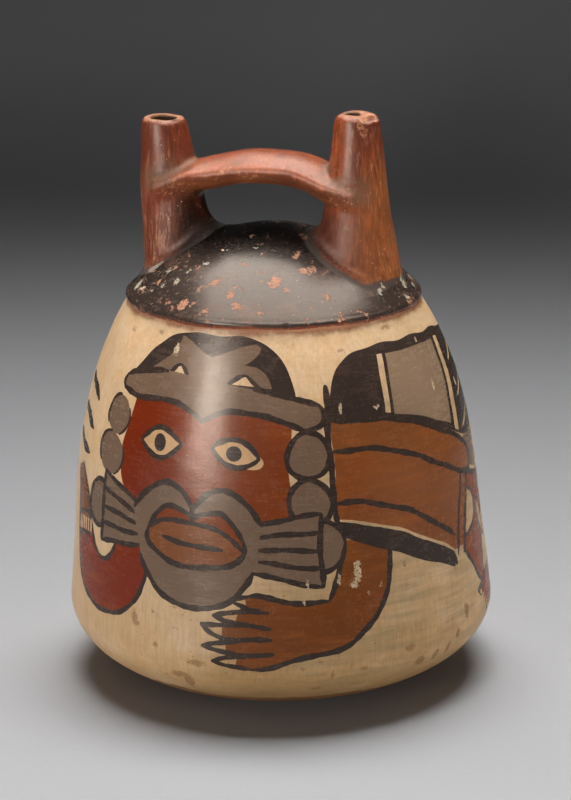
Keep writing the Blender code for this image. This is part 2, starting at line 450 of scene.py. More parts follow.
class Sheet:
    """A turned wall from the edge of the flat base up to the split height."""

    def __init__(self, profile):
        upto = profile[profile[:, 1] < SPLIT_HEIGHT]
        last = profile[len(upto)]
        share = (SPLIT_HEIGHT - upto[-1][1]) / (last[1] - upto[-1][1])
        line = np.vstack([upto, upto[-1] + share * (last - upto[-1])])
        self.radii, self.heights = line.T
        self.run = np.r_[0, np.cumsum(np.hypot(*np.diff(line, axis=0).T))]
        self.length = self.run[-1]

    def t_at(self, height):
        """t on the profile at a height."""
        return np.interp(height, self.heights, self.run)

    def stretch(self, t):
        """True millimetres for each millimetre of u."""
        return np.interp(t, self.run, self.radii) / RING

    def place(self, u, t):
        """The point in space for a place on the sheet."""
        angle = u / RING
        z = np.interp(t, self.run, self.heights)
        radius = np.interp(t, self.run, self.radii)
        radius = radius + unevenness(angle, z) * np.clip(z / 8, 0, 1)
        x = radius * np.sin(angle) - lean(z)
        return np.stack([x, -radius * np.cos(angle), z], 1)

    def normal(self, u, t, step=0.4):
        """Which way the sheet faces at a place."""
        low, high = np.maximum(t - step, 0), np.minimum(t + step, self.length)
        along = self.place(u, high) - self.place(u, low)
        across = self.place(u + step, t) - self.place(u - step, t)
        normal = np.cross(across, along)
        return normal / np.linalg.norm(normal, axis=1)[:, None]


def spaced(line):
    """The same line with its points evenly spaced."""
    run = np.r_[0, np.cumsum(np.hypot(*np.diff(line, axis=0).T))]
    count = max(int(round(run[-1] / SPACING)), 1)
    at = np.linspace(0, run[-1], count + 1)
    return np.stack([np.interp(at, run, line[:, 0]), np.interp(at, run, line[:, 1])], 1)


def straight(*points):
    """A line with sharp corners at the points."""
    return spaced(np.array(points, float))


def curve(*points):
    """A smooth line through the points."""
    p = np.array(points, float)
    padded = np.vstack([2 * p[0] - p[1], p, 2 * p[-1] - p[-2]])
    t = np.linspace(0, 1, 12, endpoint=False)[:, None]
    pieces = [spline(*padded[k:k + 4], t) for k in range(len(p) - 1)]
    return spaced(np.vstack([*pieces, padded[-2]]))


def chain(*runs):
    """Runs laid end to end: each goes on from the last one's end, straight where it adds one point only."""
    drawn, start = [], []
    for run in runs:
        points = [*start, *run]
        drawn.append(straight(*points) if len(points) == 2 else curve(*points))
        start = [run[-1]]
    return drawn


def ellipse(u, z, half_width, half_height, start=0.0, end=360.0):
    return spaced(arc((u, z), (half_width, half_height), start, end, 60))


def almond(u, z, half_width, half_height, droop):
    """The outline of a painted eye: two arcs that meet in points."""
    across = np.linspace(-1, 1, 40)
    lid = half_height * (1 - np.abs(across) ** 1.9)
    slant = -droop * across
    upper = np.stack([u + half_width * across, z + lid + slant], 1)
    lower = np.stack([u + half_width * across, z - lid + slant], 1)
    return spaced(upper), spaced(lower[::-1])


def by_hand(points):
    """The slight sway of a painter's hand, the same for a shape and its outline."""
    u, z = points.T
    sway_u = 0.22 * np.sin(0.31 * z + 0.11 * u) + 0.16 * np.sin(0.53 * u - 0.27 * z + 1.0)
    sway_z = 0.22 * np.sin(0.29 * u - 0.12 * z + 2.0) + 0.16 * np.sin(0.47 * z + 0.33 * u)
    return points + np.stack([sway_u, sway_z], 1)


class Painting:
    """Shapes and brush lines laid over each other, each kept as a closed outline in (u, t).

    They are drawn in (u, z), in mm round the ring and above the floor.
    """

    def __init__(self, sheet):
        self.sheet = sheet
        self.layers = []

    def lay(self, outline, colour):
        self.layers.append((outline, colour))

    def fill(self, colour, *runs):
        points = by_hand(np.vstack([*runs, straight(runs[-1][-1], runs[0][0])]))
        self.lay(np.stack([points[:, 0], self.sheet.t_at(points[:, 1])], 1), colour)

    def line(self, path, width=1.9, colour="black", taper=0.55):
        """A brush line: it swells and thins a little, and its ends are rounded."""
        points = by_hand(path)
        line = np.stack([points[:, 0], self.sheet.t_at(points[:, 1])], 1)
        stretch = self.sheet.stretch(line[:, 1])
        true = np.stack([line[:, 0] * stretch.mean(), line[:, 1]], 1)
        run = np.r_[0, np.cumsum(np.hypot(*np.diff(true, axis=0).T))]
        tangent = np.gradient(true, axis=0)
        tangent /= np.linalg.norm(tangent, axis=1)[:, None] + 1e-9
        phase = line[0, 0] + 0.7 * line[0, 1]
        swell = 0.12 * np.sin(0.55 * run + phase) + 0.08 * np.sin(1.45 * run + 2.3 * phase)
        ends = np.minimum(run, run[-1] - run)
        full = taper + (1 - taper) * np.clip(ends / 3.0, 0, 1)
        half = width / 2 * (1 + swell) * full
        across = np.stack([-tangent[:, 1] / stretch, tangent[:, 0]], 1) * half[:, None]
        tip = np.stack([tangent[:, 0] / stretch, tangent[:, 1]], 1) * 0.75 * half[:, None]
        outline = np.vstack([line + across, line[-1:] + tip[-1:], (line - across)[::-1], line[:1] - tip[:1]])
        self.lay(outline, colour)

    def shape(self, colour, *runs, width=1.9):
        """A filled shape with a brush line along each of its runs."""
        self.fill(colour, *runs)
        for run in runs:
            self.line(run, width)


def covers(outline, points):
    """True where points lie inside a closed outline, also where it overlaps itself."""
    inside = np.zeros(len(points), bool)
    low, high = outline.min(0), outline.max(0)
    near = np.flatnonzero(((points >= low) & (points <= high)).all(1))
    x, y = points[near].T
    turns = np.zeros(len(near), int)
    for (ax, ay), (bx, by) in zip(outline, np.roll(outline, -1, axis=0)):
        side = (bx - ax) * (y - ay) - (x - ax) * (by - ay)
        turns += (ay <= y) & (by > y) & (side > 0)
        turns -= (ay > y) & (by <= y) & (side < 0)
    inside[near] = turns != 0
    return inside


def visible_edges(layers):
    """The outlines' edges, apart from those that a later layer hides: (points, pairs of numbers)."""
    points, edges, count = [], [], 0
    for number, (outline, _) in enumerate(layers):
        following = np.roll(outline, -1, axis=0)
        middle = (outline + following) / 2
        hidden = np.zeros(len(outline), bool)
        low, high = outline.min(0), outline.max(0)
        for later, _ in layers[number + 1:]:
            if (later.min(0) < high).all() and (later.max(0) > low).all():
                hidden |= covers(later, middle)
        shown = np.flatnonzero(~hidden)
        used = np.unique(np.r_[shown, (shown + 1) % len(outline)])
        renumber = {old: count + new for new, old in enumerate(used)}
        points.append(outline[used])
        edges += [(renumber[i], renumber[(i + 1) % len(outline)]) for i in shown]
        count += len(used)
    return (np.vstack(points) if points else np.zeros((0, 2))), edges


def single(values):
    """The values as the triangulation keeps them, so that borders meet exactly."""
    return np.asarray(values, np.float32).astype(float)


def foot_ring(top_us):
    """Even places round the foot, over the same turn as the places along the top."""
    return single(np.linspace(top_us[0], top_us[-1], BASE_SEGMENTS + 1))


def triangulate(sheet, top_us, layers, lattice):
    """Triangles of an unrolled sheet whose edges follow the painting: (points, triangles)."""
    left, right = top_us[0], top_us[-1]
    rows = np.linspace(0, sheet.length, int(round(sheet.length / (ROW_SHARE * lattice))) + 1)
    bottom = [(u, 0.0) for u in foot_ring(top_us)]
    top = [(u, sheet.length) for u in top_us]
    sides = [(u, t) for t in rows[1:-1] for u in (left, right)]
    painted, edges = visible_edges(layers)
    fixed = np.vstack([painted, bottom, top, sides])
    tree = KDTree(len(fixed))
    for number, (u, t) in enumerate(fixed):
        tree.insert((u, t, 0.0), number)
    tree.balance()
    free = []
    for u, z in mark_points(WALL_STAINS + WALL_SCRAPES) if layers else ():
        t = sheet.t_at(z)
        if left < u < right and 1.0 < t < sheet.length - 1.0 and tree.find((u, t, 0.0))[2] > MARK_GAP:
            free.append((u, t))
    marked = len(free)
    crowd = KDTree(max(marked, 1))
    for number, (u, t) in enumerate(free):
        crowd.insert((u, t, 0.0), number)
    crowd.balance()
    for number, t in enumerate(rows[1:-1]):
        step = lattice / max(sheet.stretch(t), 0.6)
        count = int(round((right - left) / step))
        for k in range(count):
            u = left + (right - left) * (k + (0.5 if number % 2 else 1.0)) / (count + 0.5)
            near = min(tree.find((u, t, 0.0))[2], crowd.find((u, t, 0.0))[2] if marked else lattice)
            if near > FREE_SHARE * lattice:
                free.append((u, t))
    points = [Vector(p) for p in np.vstack([fixed, free]).tolist()]
    found, _, triangles, *_ = delaunay_2d_cdt(points, edges, [], 0, 1e-5)
    found = np.array([tuple(p) for p in found])
    for column, border in ((0, left), (0, right), (1, 0.0), (1, sheet.length)):
        found[np.abs(found[:, column] - border) < 1e-3, column] = border
    return found, np.array(triangles)


# ---- what is painted ----------------------------------------------------------------------------
def srgb(red, green, blue):
    """A colour given in sRGB from 0 to 255, as linear light."""
    share = np.array([red, green, blue]) / 255
    return np.where(share <= 0.04045, share / 12.92, ((share + 0.055) / 1.055) ** 2.4)


SLIPS = {
    "cream": srgb(203, 171, 133),
    "buff": srgb(190, 150, 106),
    "black": srgb(54, 43, 37),
    "grey": srgb(111, 88, 70),
    "pale grey": srgb(130, 106, 84),
    "dark red": srgb(112, 37, 11),
    "red": srgb(118, 52, 14),
    "panel red": srgb(128, 69, 32),
    "orange": srgb(122, 70, 36),
    "brown": srgb(110, 60, 24),
    "spout": srgb(102, 43, 22),
    "clay": srgb(148, 100, 60),
}
FACE_AXIS = -5.0
FACE_HEIGHT = 63.0
FACE_SLOPE = 0.035             # the face falls a little to the right


def on_face(*points):
    """Points given across and above the middle of the mouth."""
    return [(FACE_AXIS + p, FACE_HEIGHT + q - FACE_SLOPE * p) for p, q in points]


def mirrored(*points):
    """The points on the other side of the face, in reverse order."""
    return [(-p, q) for p, q in points][::-1]


def paint_headdress(painting):
    """A black cap behind a grey band whose two prongs rise to points."""
    painting.fill("black", curve((-42.4, 110), (-41, 113), (-36, 119), (-30, 124.2), (-20, 128.4),
                                 (-4, 129.0), (14, 128.6), (23, 125.8), (28.5, 120), (31.5, 113), (32, 107)))
    prongs = chain(
        [(-33, 115), (-26, 119.5), (-20.5, 123), (-18.2, 128.0)],
        [(-11, 126), (-2.5, 122.6)],
        [(7, 125.6), (16, 127.2)],
        [(18.2, 125.8), (16.5, 123.6), (11.8, 121.0)],
        [(17, 120.2), (21, 117.4), (23.4, 112)],
        [(-33, 112)],
    )
    painting.fill("grey", *prongs)
    painting.line(prongs[1][::-1], 0.9)
    painting.line(prongs[2], 0.9)
    for left, tip, right, lift in ((-21.5, -15.6, -11.5, 0.0), (5.5, 12.6, 19.0, -1.2)):
        painting.shape("cream", *chain([(left, 115.6 + lift), (tip - 2.2, 118.4 + lift), (tip, 118.9 + lift)],
                                       [(tip + 2.0, 117.6 + lift), (right, 114.6 + lift)],
                                       [(left, 115.6 + lift)]), width=1.6)
    band = chain(
        [(-43.2, 112.2), (-38, 114.2), (-29, 116), (-18, 116.6), (-4, 115.6), (9, 114.4), (22, 112.6),
         (33, 110.4), (40.5, 108)],
        [(42.4, 104.6), (40.2, 101.6), (35, 100.4)],
        [(27, 103.4), (16, 106), (8, 106.6), (1, 104.8), (-3.6, 102.4)],
        [(-8, 105.2), (-14, 107.2), (-24, 107.6), (-34, 107), (-43, 108.4)],
        [(-44.2, 110.4), (-43.2, 112.2)],
    )
    painting.fill("grey", *band)
    for run in band[1:]:
        painting.line(run, 2.0)
    painting.line(curve((-43.2, 112.2), (-38, 114.2), (-29, 116), (-22, 116.5)), 1.9)
    painting.line(curve((16, 113.4), (22, 112.6), (33, 110.4), (40.5, 108)), 2.0)


def paint_eye(painting, side):
    """One eye of the mask: side is -1 for the left and 1 for the right."""
    u, z = on_face((side * 14.7, 30.8))[0]
    upper, lower = almond(u, z, 8.8, 4.7, droop=0.5 + 0.9 * side)
    if side > 0:
        painting.fill("buff", ellipse(u + 5.6, z - 2.6, 4.6, 2.6))
    painting.shape("buff", upper, lower, width=1.8)
    painting.fill("black", ellipse(u - 0.4, z, 2.7, 2.7))


def paint_fan(painting, side, root, bar):
    """Whiskers: a fan of lines from the mouth mask to an upright bar. root and bar: (p, low q, high q)."""
    (near, near_low, near_high), (far, far_low, far_high) = root, bar
    a, b, c, d = on_face((side * near, near_low), (side * far, far_low), (side * far, far_high),
                         (side * near, near_high))
    painting.fill("grey", straight(a, b, c, d))
    for share in (0.0, 0.25, 0.5, 0.75, 1.0):
        (u0, z0), (u1, z1) = on_face((side * near, near_low + share * (near_high - near_low)),
                                     (side * far, far_low + share * (far_high - far_low)))
        gap = 0.0 if share in (0.0, 1.0) else 0.06
        painting.line(straight((u0 + gap * (u1 - u0), z0 + gap * (z1 - z0)), (u1, z1)), 1.8)
    painting.line(straight(b, c), 2.0)


def paint_mouth_mask(painting):
    """A grey mask round the mouth, with two curled lobes under the nose."""
    lobe = [(0.4, 11.2), (2.2, 14.2), (5.2, 17.0), (10.2, 18.4), (15.8, 16.6), (20.4, 12.8), (24.2, 8.0)]
    jaw = [(20.8, -7.4), (18.4, -12.0), (13.6, -17.0), (7.2, -20.4), (0.0, -21.6)]
    right, left = on_face(*lobe), on_face(*mirrored(*lobe))
    chin = on_face(*jaw, *mirrored(*jaw[:-1]))
    painting.fill("grey", curve(*left), curve(*right), straight(right[-1], chin[0]), curve(*chin),
                  straight(chin[-1], left[0]))
    for run in (left, right, chin):
        painting.line(curve(*run), 2.0)
    humps = [(-1.2, 8.2), (3.0, 9.8), (9.6, 11.0), (14.2, 7.6), (17.4, 2.4)]
    rim = [(17.8, -1.4), (14.6, -4.8), (8.6, -7.2), (0.8, -8.0)]
    upper_left, upper_right = on_face(*mirrored(*humps)), on_face(*humps)
    under = on_face(*rim, *mirrored(*rim[:-1]))
    below = curve(upper_right[-1], *under, upper_left[0])
    painting.fill("red", curve(*upper_left), curve(*upper_right), curve(*under))
    for run in (upper_left, upper_right):
        painting.line(curve(*run), 1.8)
    painting.line(below, 2.0)
    painting.line(straight(*on_face((-0.4, 13.0), (-0.2, 7.6))), 2.0)
    lips = curve(*on_face((-17.0, 2.6), (-12.0, 5.4), (-5.0, 6.8), (3.0, 6.4), (11.0, 4.0), (17.0, -0.6)))
    painting.fill("orange", lips, curve(*under))
    painting.line(lips, 1.7)
    painting.line(below, 2.0)
    painting.line(curve(*on_face((-11.5, 0.4), (-3.0, -0.6), (10.5, -1.0))), 1.8)


def paint_discs(painting):
    """Round ornaments beside the cheeks."""
    for u, z, wide, high in ((-43.2, 99.4, 6.6, 6.2), (-44.6, 86.6, 7.6, 6.8)):
        painting.fill("grey", ellipse(u, z, wide, high))
        painting.line(ellipse(u, z, wide + 0.2, high + 0.2, 95, 215), 1.3)
        painting.line(ellipse(u, z, wide + 0.2, high + 0.2, -70, 30), 1.0)
    for z in (92.4, 77.2):
        painting.fill("grey", ellipse(35.2, z, 7.3, 7.3))
        painting.line(ellipse(35.2, z, 7.5, 7.5), 1.8)


def paint_face(painting):
    """The mask: cheeks, discs, eyes, fans of whiskers, mouth and headdress."""
    painting.fill("cream", straight((26, 101), (43.5, 101), (43.5, 70), (26, 70)))
    painting.line(straight((43.6, 114), (43.0, 96), (43.6, 76), (44.4, 69)), 2.2)
    painting.fill("face", straight((-34, 108), (30, 108)), curve((30, 103), (28.5, 92), (28.8, 80), (27, 70)),
                  straight((27, 70), (15, 60), (-22, 62), (-29, 71)),
                  curve((-29, 71), (-36.5, 79), (-38.4, 88), (-36.6, 97), (-34, 108)))
    paint_discs(painting)
    for side in (-1, 1):
        paint_eye(painting, side)
    for u, z, wide, high in ((-48.6, 68.6, 7.4, 7.8), (38.6, 62.8, 8.0, 8.6)):
        painting.fill("grey", ellipse(u, z, wide, high))
        painting.line(ellipse(u, z, wide, high), 1.7)
    paint_fan(painting, -1, (21.0, -4.6, 8.8), (41.2, -8.2, 16.0))
    paint_fan(painting, 1, (21.0, -7.8, 8.0), (43.4, -12.0, 12.6))
    paint_mouth_mask(painting)
    paint_headdress(painting)


def paint_left_arm(painting):
    """A bent arm that hangs behind the whiskers, with a band at the wrist."""
    painting.shape("dark red", *chain(
        [(-67.5, 62), (-66.6, 52), (-63.4, 42.4), (-58, 36.4), (-50, 33), (-43, 32.6), (-35, 34), (-29, 38),
         (-24.8, 44), (-23, 51), (-24.6, 60)],
        [(-37, 61)],
        [(-38.6, 55.6), (-41.6, 51.4), (-45.4, 49.6), (-49.4, 52), (-53, 58), (-57, 68)],
        [(-67.5, 62)],
    ), width=1.7)
    painting.fill("brown", *chain([(-71, 76), (-68.6, 68), (-67, 58)], [(-53, 58)],
                                  [(-57, 66), (-61, 72), (-66, 78)]))
    painting.line(curve((-53, 57.6), (-57, 66), (-61.4, 72.6), (-67, 78)), 1.5)
    painting.line(curve((-66.6, 52), (-67.2, 60), (-69, 68), (-71.6, 76)), 1.5)
    for base in (53.0, 60.2):
        painting.line(curve((-66.8, base), (-60.5, base + 2.2), (-53.6, base + 2.6)), 1.3)
    for k in range(6):
        u = -64.8 + 2.1 * k
        painting.line(straight((u, 55.4 + 0.3 * k), (u - 0.3, 59.4 + 0.3 * k)), 1.0, "cream", taper=0.9)


def paint_side_bars(painting):
    """Three short dark bars on each side of the plain field at the left."""
    for z, fall in ((104.5, 4.4), (94.2, 3.4), (84.6, 2.2)):
        bar = curve((-81, z + 1.6), (-69, z - 0.36 * fall), (-61.4, z - fall))
        painting.line(bar, 3.0, taper=0.35)


def paint_hand(painting):
    """The right arm comes down from behind the garment and turns into a clawed hand."""
    back, knuckles, wrist, inside = chain(
        [(62.4, 64), (62.8, 57), (61.2, 48), (57, 39), (50.6, 32.8), (43, 28.6), (33, 26.8), (22, 23.6),
         (14.5, 22.4)],
        [(11.6, 27.2), (11.8, 32.4), (12.8, 37.6), (13.6, 42.4), (13, 46.4)],
        [(18, 47), (26, 45.6), (34, 44.4), (40.6, 44.6)],
        [(43, 51), (45.4, 58), (46.6, 64)],
    )
    painting.fill("brown", back, knuckles, wrist, inside)
    for run in (back, wrist, inside):
        painting.line(run, 1.9)
    fingers = (
        (14.0, (8.4, 45.4), [(11, 46.2), (14, 46.6)], [(12, 43.6), (15, 42.2), (20.5, 41.4)]),
        (10.6, (2.6, 40.0), [(8, 41.4), (14, 42.1), (20.5, 41.4)], [(7, 38.4), (12.4, 37.4)]),
        (6.6, (-1.4, 37.0), [(6, 37.1), (13, 37.3), (21, 36.5)], [(2.6, 34.2), (7, 32.5), (11, 32.3)]),
        (7.6, (-1.0, 29.6), [(4, 31.0), (10.5, 31.9), (21.5, 33)], [(5, 28.1), (11.4, 27.3)]),
        (11.0, (2.0, 24.8), [(7, 26.0), (13, 27.2), (22.5, 28)], [(6, 23.4), (10.5, 22.7), (15, 22.5)]),
    )
    for nail, tip, above, below in fingers:
        top, under = curve(tip, *above), curve(tip, *below)
        painting.fill("brown", top, under[::-1])
        painting.fill("buff", top[top[:, 0] < nail], under[under[:, 0] < nail - 0.6][::-1])
        painting.line(top, 1.8)
        painting.line(under, 1.7)


def paint_wing(painting):
    """The upper part of the garment: a black wing with a grey panel, cream stripes and nicks in its edge."""
    top = curve((44.4, 103.4), (44.4, 109), (46.6, 115), (51.4, 120.4), (59, 123.4), (72, 124.2), (92, 124),
                (112, 123.2), (132, 120.6), (146, 114.6))
    hem = curve((146, 96), (134, 89), (121, 86), (108, 88.4), (98, 92.2), (86, 97), (72, 101.2), (58, 103),
                (44.4, 103.4))
    painting.fill("black", top, hem)
    painting.fill("pale grey", *chain([(73.6, 121), (109.6, 120.4)], [(106.6, 106), (102.4, 92.8)],
                                      [(90, 97.6), (79, 101), (71, 102.6)], [(73.6, 121)]))
    painting.fill("cream", straight((69.2, 121.2), (71.9, 121.2), (69.4, 102.9), (66.9, 103.2)))
    painting.fill("cream", straight((113, 120.2), (116.8, 119.8), (107.4, 89.4), (104.4, 90.6)))
    for start, z in ((119.5, 112), (116, 100.5), (112.6, 90.4)):
        painting.fill("cream", *chain([(start, z), (start + 9, z + 2.2), (start + 18, z + 5.2)],
                                      [(start + 9, z + 0.9), (start, z - 0.9)]))
    painting.fill("grey", straight((111, 87), (126, 85.6), (124, 73), (112, 76.5)))


def paint_skirt(painting):
    """The lower part: two broad bands, a cream line and a black wedge, closed by bars at the right."""
    upper = curve((44.4, 103.0), (58, 102.4), (72, 100.6), (86, 96.4), (98, 91.4), (107, 87.0), (112, 84.0),
                  (114.6, 79.4))
    middle = curve((44.4, 93.4), (56, 93.2), (68, 91.2), (80, 87.2), (92, 81.8), (102, 77.2), (113.6, 74.4))
    lower = curve((44.4, 76.6), (56, 76), (66, 73), (76, 68.8), (86, 62.4), (95, 56.8))
    edge = curve((44.6, 71.2), (56, 68.6), (67, 65), (80, 59.2), (93.6, 52.2))
    wedge = curve((45.4, 65.2), (58, 60.8), (70, 56), (80, 51.4), (93, 46.4))
    end = straight((93, 46.4), (93.6, 52.2))
    painting.fill("black", edge, end[::-1], wedge[::-1])
    painting.fill("orange", upper, straight((114.6, 79.4), (113.6, 74.4)), middle[::-1])
    painting.fill("panel", middle, straight((108, 76), (101, 52)), edge[::-1],
                  straight((44.6, 71.2), (44.4, 93.4)))
    painting.line(upper, 2.0)
    painting.line(middle, 1.9)
    painting.line(lower, 1.9)
    painting.line(edge, 1.0, "cream")
    painting.line(curve((103.6, 76.6), (100, 66), (95.4, 50)), 1.6)
    painting.line(curve((108.6, 75.6), (104.2, 64), (99.6, 49.4)), 1.6)
    painting.line(curve((111, 86), (114.8, 79.4), (112, 75.6), (107, 75.4)), 1.7)
    painting.line(straight((94, 47.2), (93.2, 51)), 2.6)


def paint_legs(painting):
    """Behind the skirt: a leg drawn up, its foot and a beaded cord, going round to the back."""
    painting.shape("red", *chain(
        [(107, 75.6), (116, 73), (128, 71.4), (141, 72.6), (151, 70)],
        [(156, 60), (152, 49), (144, 43)],
        [(138, 52), (131, 57), (124, 56)],
        [(119, 46), (116.6, 33.6)],
        [(111, 38), (106.6, 43.2), (100.6, 49.6)],
        [(107, 75.6)],
    ), width=1.7)
    painting.shape("cream", *chain(
        [(106.6, 70.4), (111.4, 67.6), (113.4, 62.4), (111.4, 57.4), (104.6, 54.4), (102.4, 55.4)],
        [(106.6, 70.4)],
    ), width=1.5)
    painting.shape("cream", *chain([(116, 64), (121, 60.6), (124, 54), (125.4, 47)],
                                   [(120, 53), (117, 58.6), (116, 64)]), width=1.3)
    painting.shape("red", *chain(
        [(108, 33.4), (113, 29.4), (118, 22.6), (128, 19), (140, 20), (149, 27)],
        [(146, 34), (136, 38), (124, 37.4), (116.6, 35.6)],
        [(108, 33.4)],
    ), width=1.6)
    for k in range(7):
        painting.fill("cream", ellipse(110.8 + 1.5 * k, 32.0 - 1.75 * k, 1.1, 0.9))


def paint_back(painting):
    """The far side, plainer: toes, a stepped tail and a fringe, with the clay left cream between."""
    for k in range(3):
        painting.shape("cream", *chain(
            [(147 + 1.2 * k, 33 - 4.6 * k), (153, 33.6 - 4.8 * k), (157.6, 31 - 5 * k)],
            [(153, 29.6 - 4.8 * k), (147 + 1.2 * k, 29 - 4.6 * k)],
        ), width=1.4)
    painting.shape("dark red", *chain(
        [(-92, 60), (-104, 66), (-120, 69), (-136, 67), (-150, 60), (-160, 49)],
        [(-168, 46), (-172, 38), (-166, 31), (-156, 31), (-149, 37)],
        [(-140, 46), (-128, 51.6), (-114, 52), (-102, 48), (-92, 42)],
        [(-92, 60)],
    ), width=1.8)
    for k in range(4):
        u = -104 - 11 * k
        top, foot = (u, 66.6 - 0.3 * k), (u, 57.6)
        painting.shape("cream", straight(top, (u - 3.4, 67.6 - 0.4 * k), (u - 2.6, 58), foot),
                       straight(foot, top), width=1.1)
    painting.fill("black", ellipse(-161.4, 38.6, 3.2, 3.0))
    painting.shape("grey", *chain(
        [(-97, 122), (-112, 123.4), (-130, 122.4), (-147, 118)],
        [(-151, 104), (-150, 92)],
        [(-132, 97), (-112, 98), (-98, 94)],
        [(-97, 122)],
    ), width=1.9)
    painting.shape("red", *chain(
        [(-98, 94), (-112, 98), (-132, 97), (-150, 92)],
        [(-152, 86), (-150.6, 81)],
        [(-132, 86.4), (-112, 87), (-97.6, 83)],
        [(-98, 94)],
    ), width=1.9)
    for k in range(4):
        u = -106 - 11.5 * k
        wedge = chain([(u, 119.6), (u - 5.6, 119.4)], [(u - 3.6, 103)], [(u, 119.6)])
        painting.shape("black", *wedge, width=0.9)
    for k in range(3):
        z = 111 - 10 * k
        painting.line(curve((166, z + 3), (176, z + 1), (186, z + 1.6)), 2.8, taper=0.35)


def paint_bottle(sheet):
    """The layers of the picture on the wall, from the hindmost to the foremost."""
    painting = Painting(sheet)
    for paint in (paint_left_arm, paint_side_bars, paint_legs, paint_hand, paint_wing, paint_skirt,
                  paint_face, paint_back):
        paint(painting)
    return painting.layers


# ---- stains, scrapes and flakes -----------------------------------------------------------------
# On the wall (u, z, half width, half height), on the dome (x, y, half sizes); all in mm.
WALL_STAINS = (
    (-27, 34.6, 1.5, 2.8), (-26.2, 32.6, 1.6, 1.2), (-19.5, 38, 0.7, 0.7), (-11, 40.6, 1.5, 0.6),
    (-10.6, 33.6, 1.5, 0.6), (-18, 27, 1.1, 0.9), (-3.2, 23.2, 3.4, 1.3), (-10, 17.6, 3.2, 1.6),
    (-7, 15.2, 1.9, 3.4), (-15.4, 16.4, 0.9, 0.7), (68, 25, 2.6, 1.5), (73.5, 18.6, 2.4, 2.0),
    (81, 18.8, 1.7, 2.2), (87, 19.4, 1.3, 2.4), (91, 23.6, 1.4, 2.2), (31, 22.8, 1.6, 0.9),
    (37, 24.8, 2.0, 0.7), (41, 19.4, 1.0, 1.8), (51.5, 20.6, 1.6, 1.0), (56.6, 21.8, 0.7, 0.7),
    (68, 53.4, 0.8, 1.3), (36, 13.8, 2.2, 1.0), (-52, 125.4, 1.8, 0.9), (-32.6, 127.4, 3.0, 0.8),
    (52.6, 124, 2.2, 0.7), (80, 128.6, 3.4, 1.2), (97, 30, 1.6, 3.0), (160, 24, 2.6, 1.6),
    (-120, 30, 3.0, 1.4), (-96, 22, 1.8, 2.2), (190, 52, 1.4, 2.6), (-180, 70, 2.2, 1.2),
)
WALL_SCRAPES = (
    (50.4, 53.6, 1.5, 4.6), (49.2, 49.6, 2.0, 1.6), (44.2, 52, 0.8, 2.6), (33.6, 51, 0.7, 3.0),
    (32.2, 45, 0.8, 1.2), (53.6, 46.4, 1.0, 0.8), (59, 48, 0.9, 1.2), (-20.4, 123.4, 1.5, 2.6),
    (96.6, 108, 0.9, 2.0), (63.6, 105.6, 1.6, 0.8), (48.6, 106.4, 0.9, 1.8), (96, 122, 1.0, 1.0),
    (140, 66, 1.2, 2.6), (-130, 60, 2.4, 1.0), (118, 104, 1.2, 1.8), (-112, 110, 1.6, 1.0),
)
DOME_FLAKES = (
    (-7, -37.5, 2.6, 2.2), (0, -42, 2.0, 2.0), (3.5, -45.5, 2.6, 1.8), (-16, -44, 2.4, 2.6),
    (-23, -41, 1.0, 1.8), (-1.5, -46.2, 1.4, 1.2), (-10, -48.4, 1.2, 1.0), (13, -34.5, 2.6, 3.0),
    (20, -26, 3.2, 2.0), (22, -23.6, 2.0, 2.6), (15.5, -19.5, 1.6, 3.4), (30, -31.5, 1.8, 1.8),
    (11.5, -46, 1.6, 1.2), (10, -44.4, 1.6, 1.0), (26.5, -42.4, 1.4, 1.0), (30, -40, 1.2, 1.0),
    (35.4, -34.4, 1.8, 1.6), (0, -29.5, 2.4, 0.9), (3, -18, 1.8, 1.0), (-9, -21.6, 3.4, 0.7),
    (21, -38, 1.0, 0.8), (-30, -30, 1.4, 2.2), (-36, -20, 1.2, 2.4), (6, 30, 2.2, 1.6),
    (-14, 38, 1.8, 2.4), (22, 36, 2.6, 1.4), (-30, 28, 1.6, 2.0), (38, 20, 1.6, 2.2),
)
DOME_CHALK = (
    (-36.5, -16, 3.2, 3.8), (-40, -22.6, 1.6, 3.0), (-37, -28, 1.4, 1.2), (-28, -26, 1.0, 1.6),
    (-22, -34, 1.2, 1.6), (-27, -33, 0.9, 1.6), (-31, -32.5, 0.9, 1.3), (-13.5, -28.5, 1.3, 1.1),
    (-19, -30.5, 1.0, 1.1), (-8, -22, 2.0, 0.5), (1, -20.5, 1.2, 0.6), (-47, 9, 1.6, 4.0),
    (42.4, -13.4, 0.8, 3.2), (36.5, -22, 1.6, 0.6), (43, 17.5, 1.6, 1.2), (46, 1, 1.2, 2.0),
    (46.5, 10.5, 1.0, 1.6), (48.6, -4, 0.9, 1.6), (20, 34, 1.6, 1.0), (-20, 36, 1.0, 1.8),
)


MARK_STEP = 0.8                # between the points that carry a mark's edge


def mark_depth(first, second, marks):
    """How far, in mm, points lie inside the nearest mark's edge; below zero outside."""
    depth = np.full(len(first), NOWHERE)
    for a, b, half_a, half_b in marks:
        away = np.hypot((first - a) / half_a, (second - b) / half_b)
        depth = np.maximum(depth, (1 - away) * min(half_a, half_b))
    return depth


def mark_points(marks):
    """A fine grid of places over each mark, so that the mesh can carry its edge."""
    places = []
    for u, z, half_u, half_z in marks:
        across = np.arange(u - half_u - MARK_STEP, u + half_u + 1.01 * MARK_STEP, MARK_STEP)
        along = np.arange(z - half_z - MARK_STEP, z + half_z + 1.01 * MARK_STEP, MARK_STEP)
        places += [(a, b) for a in across for b in along]
    return np.array(places)


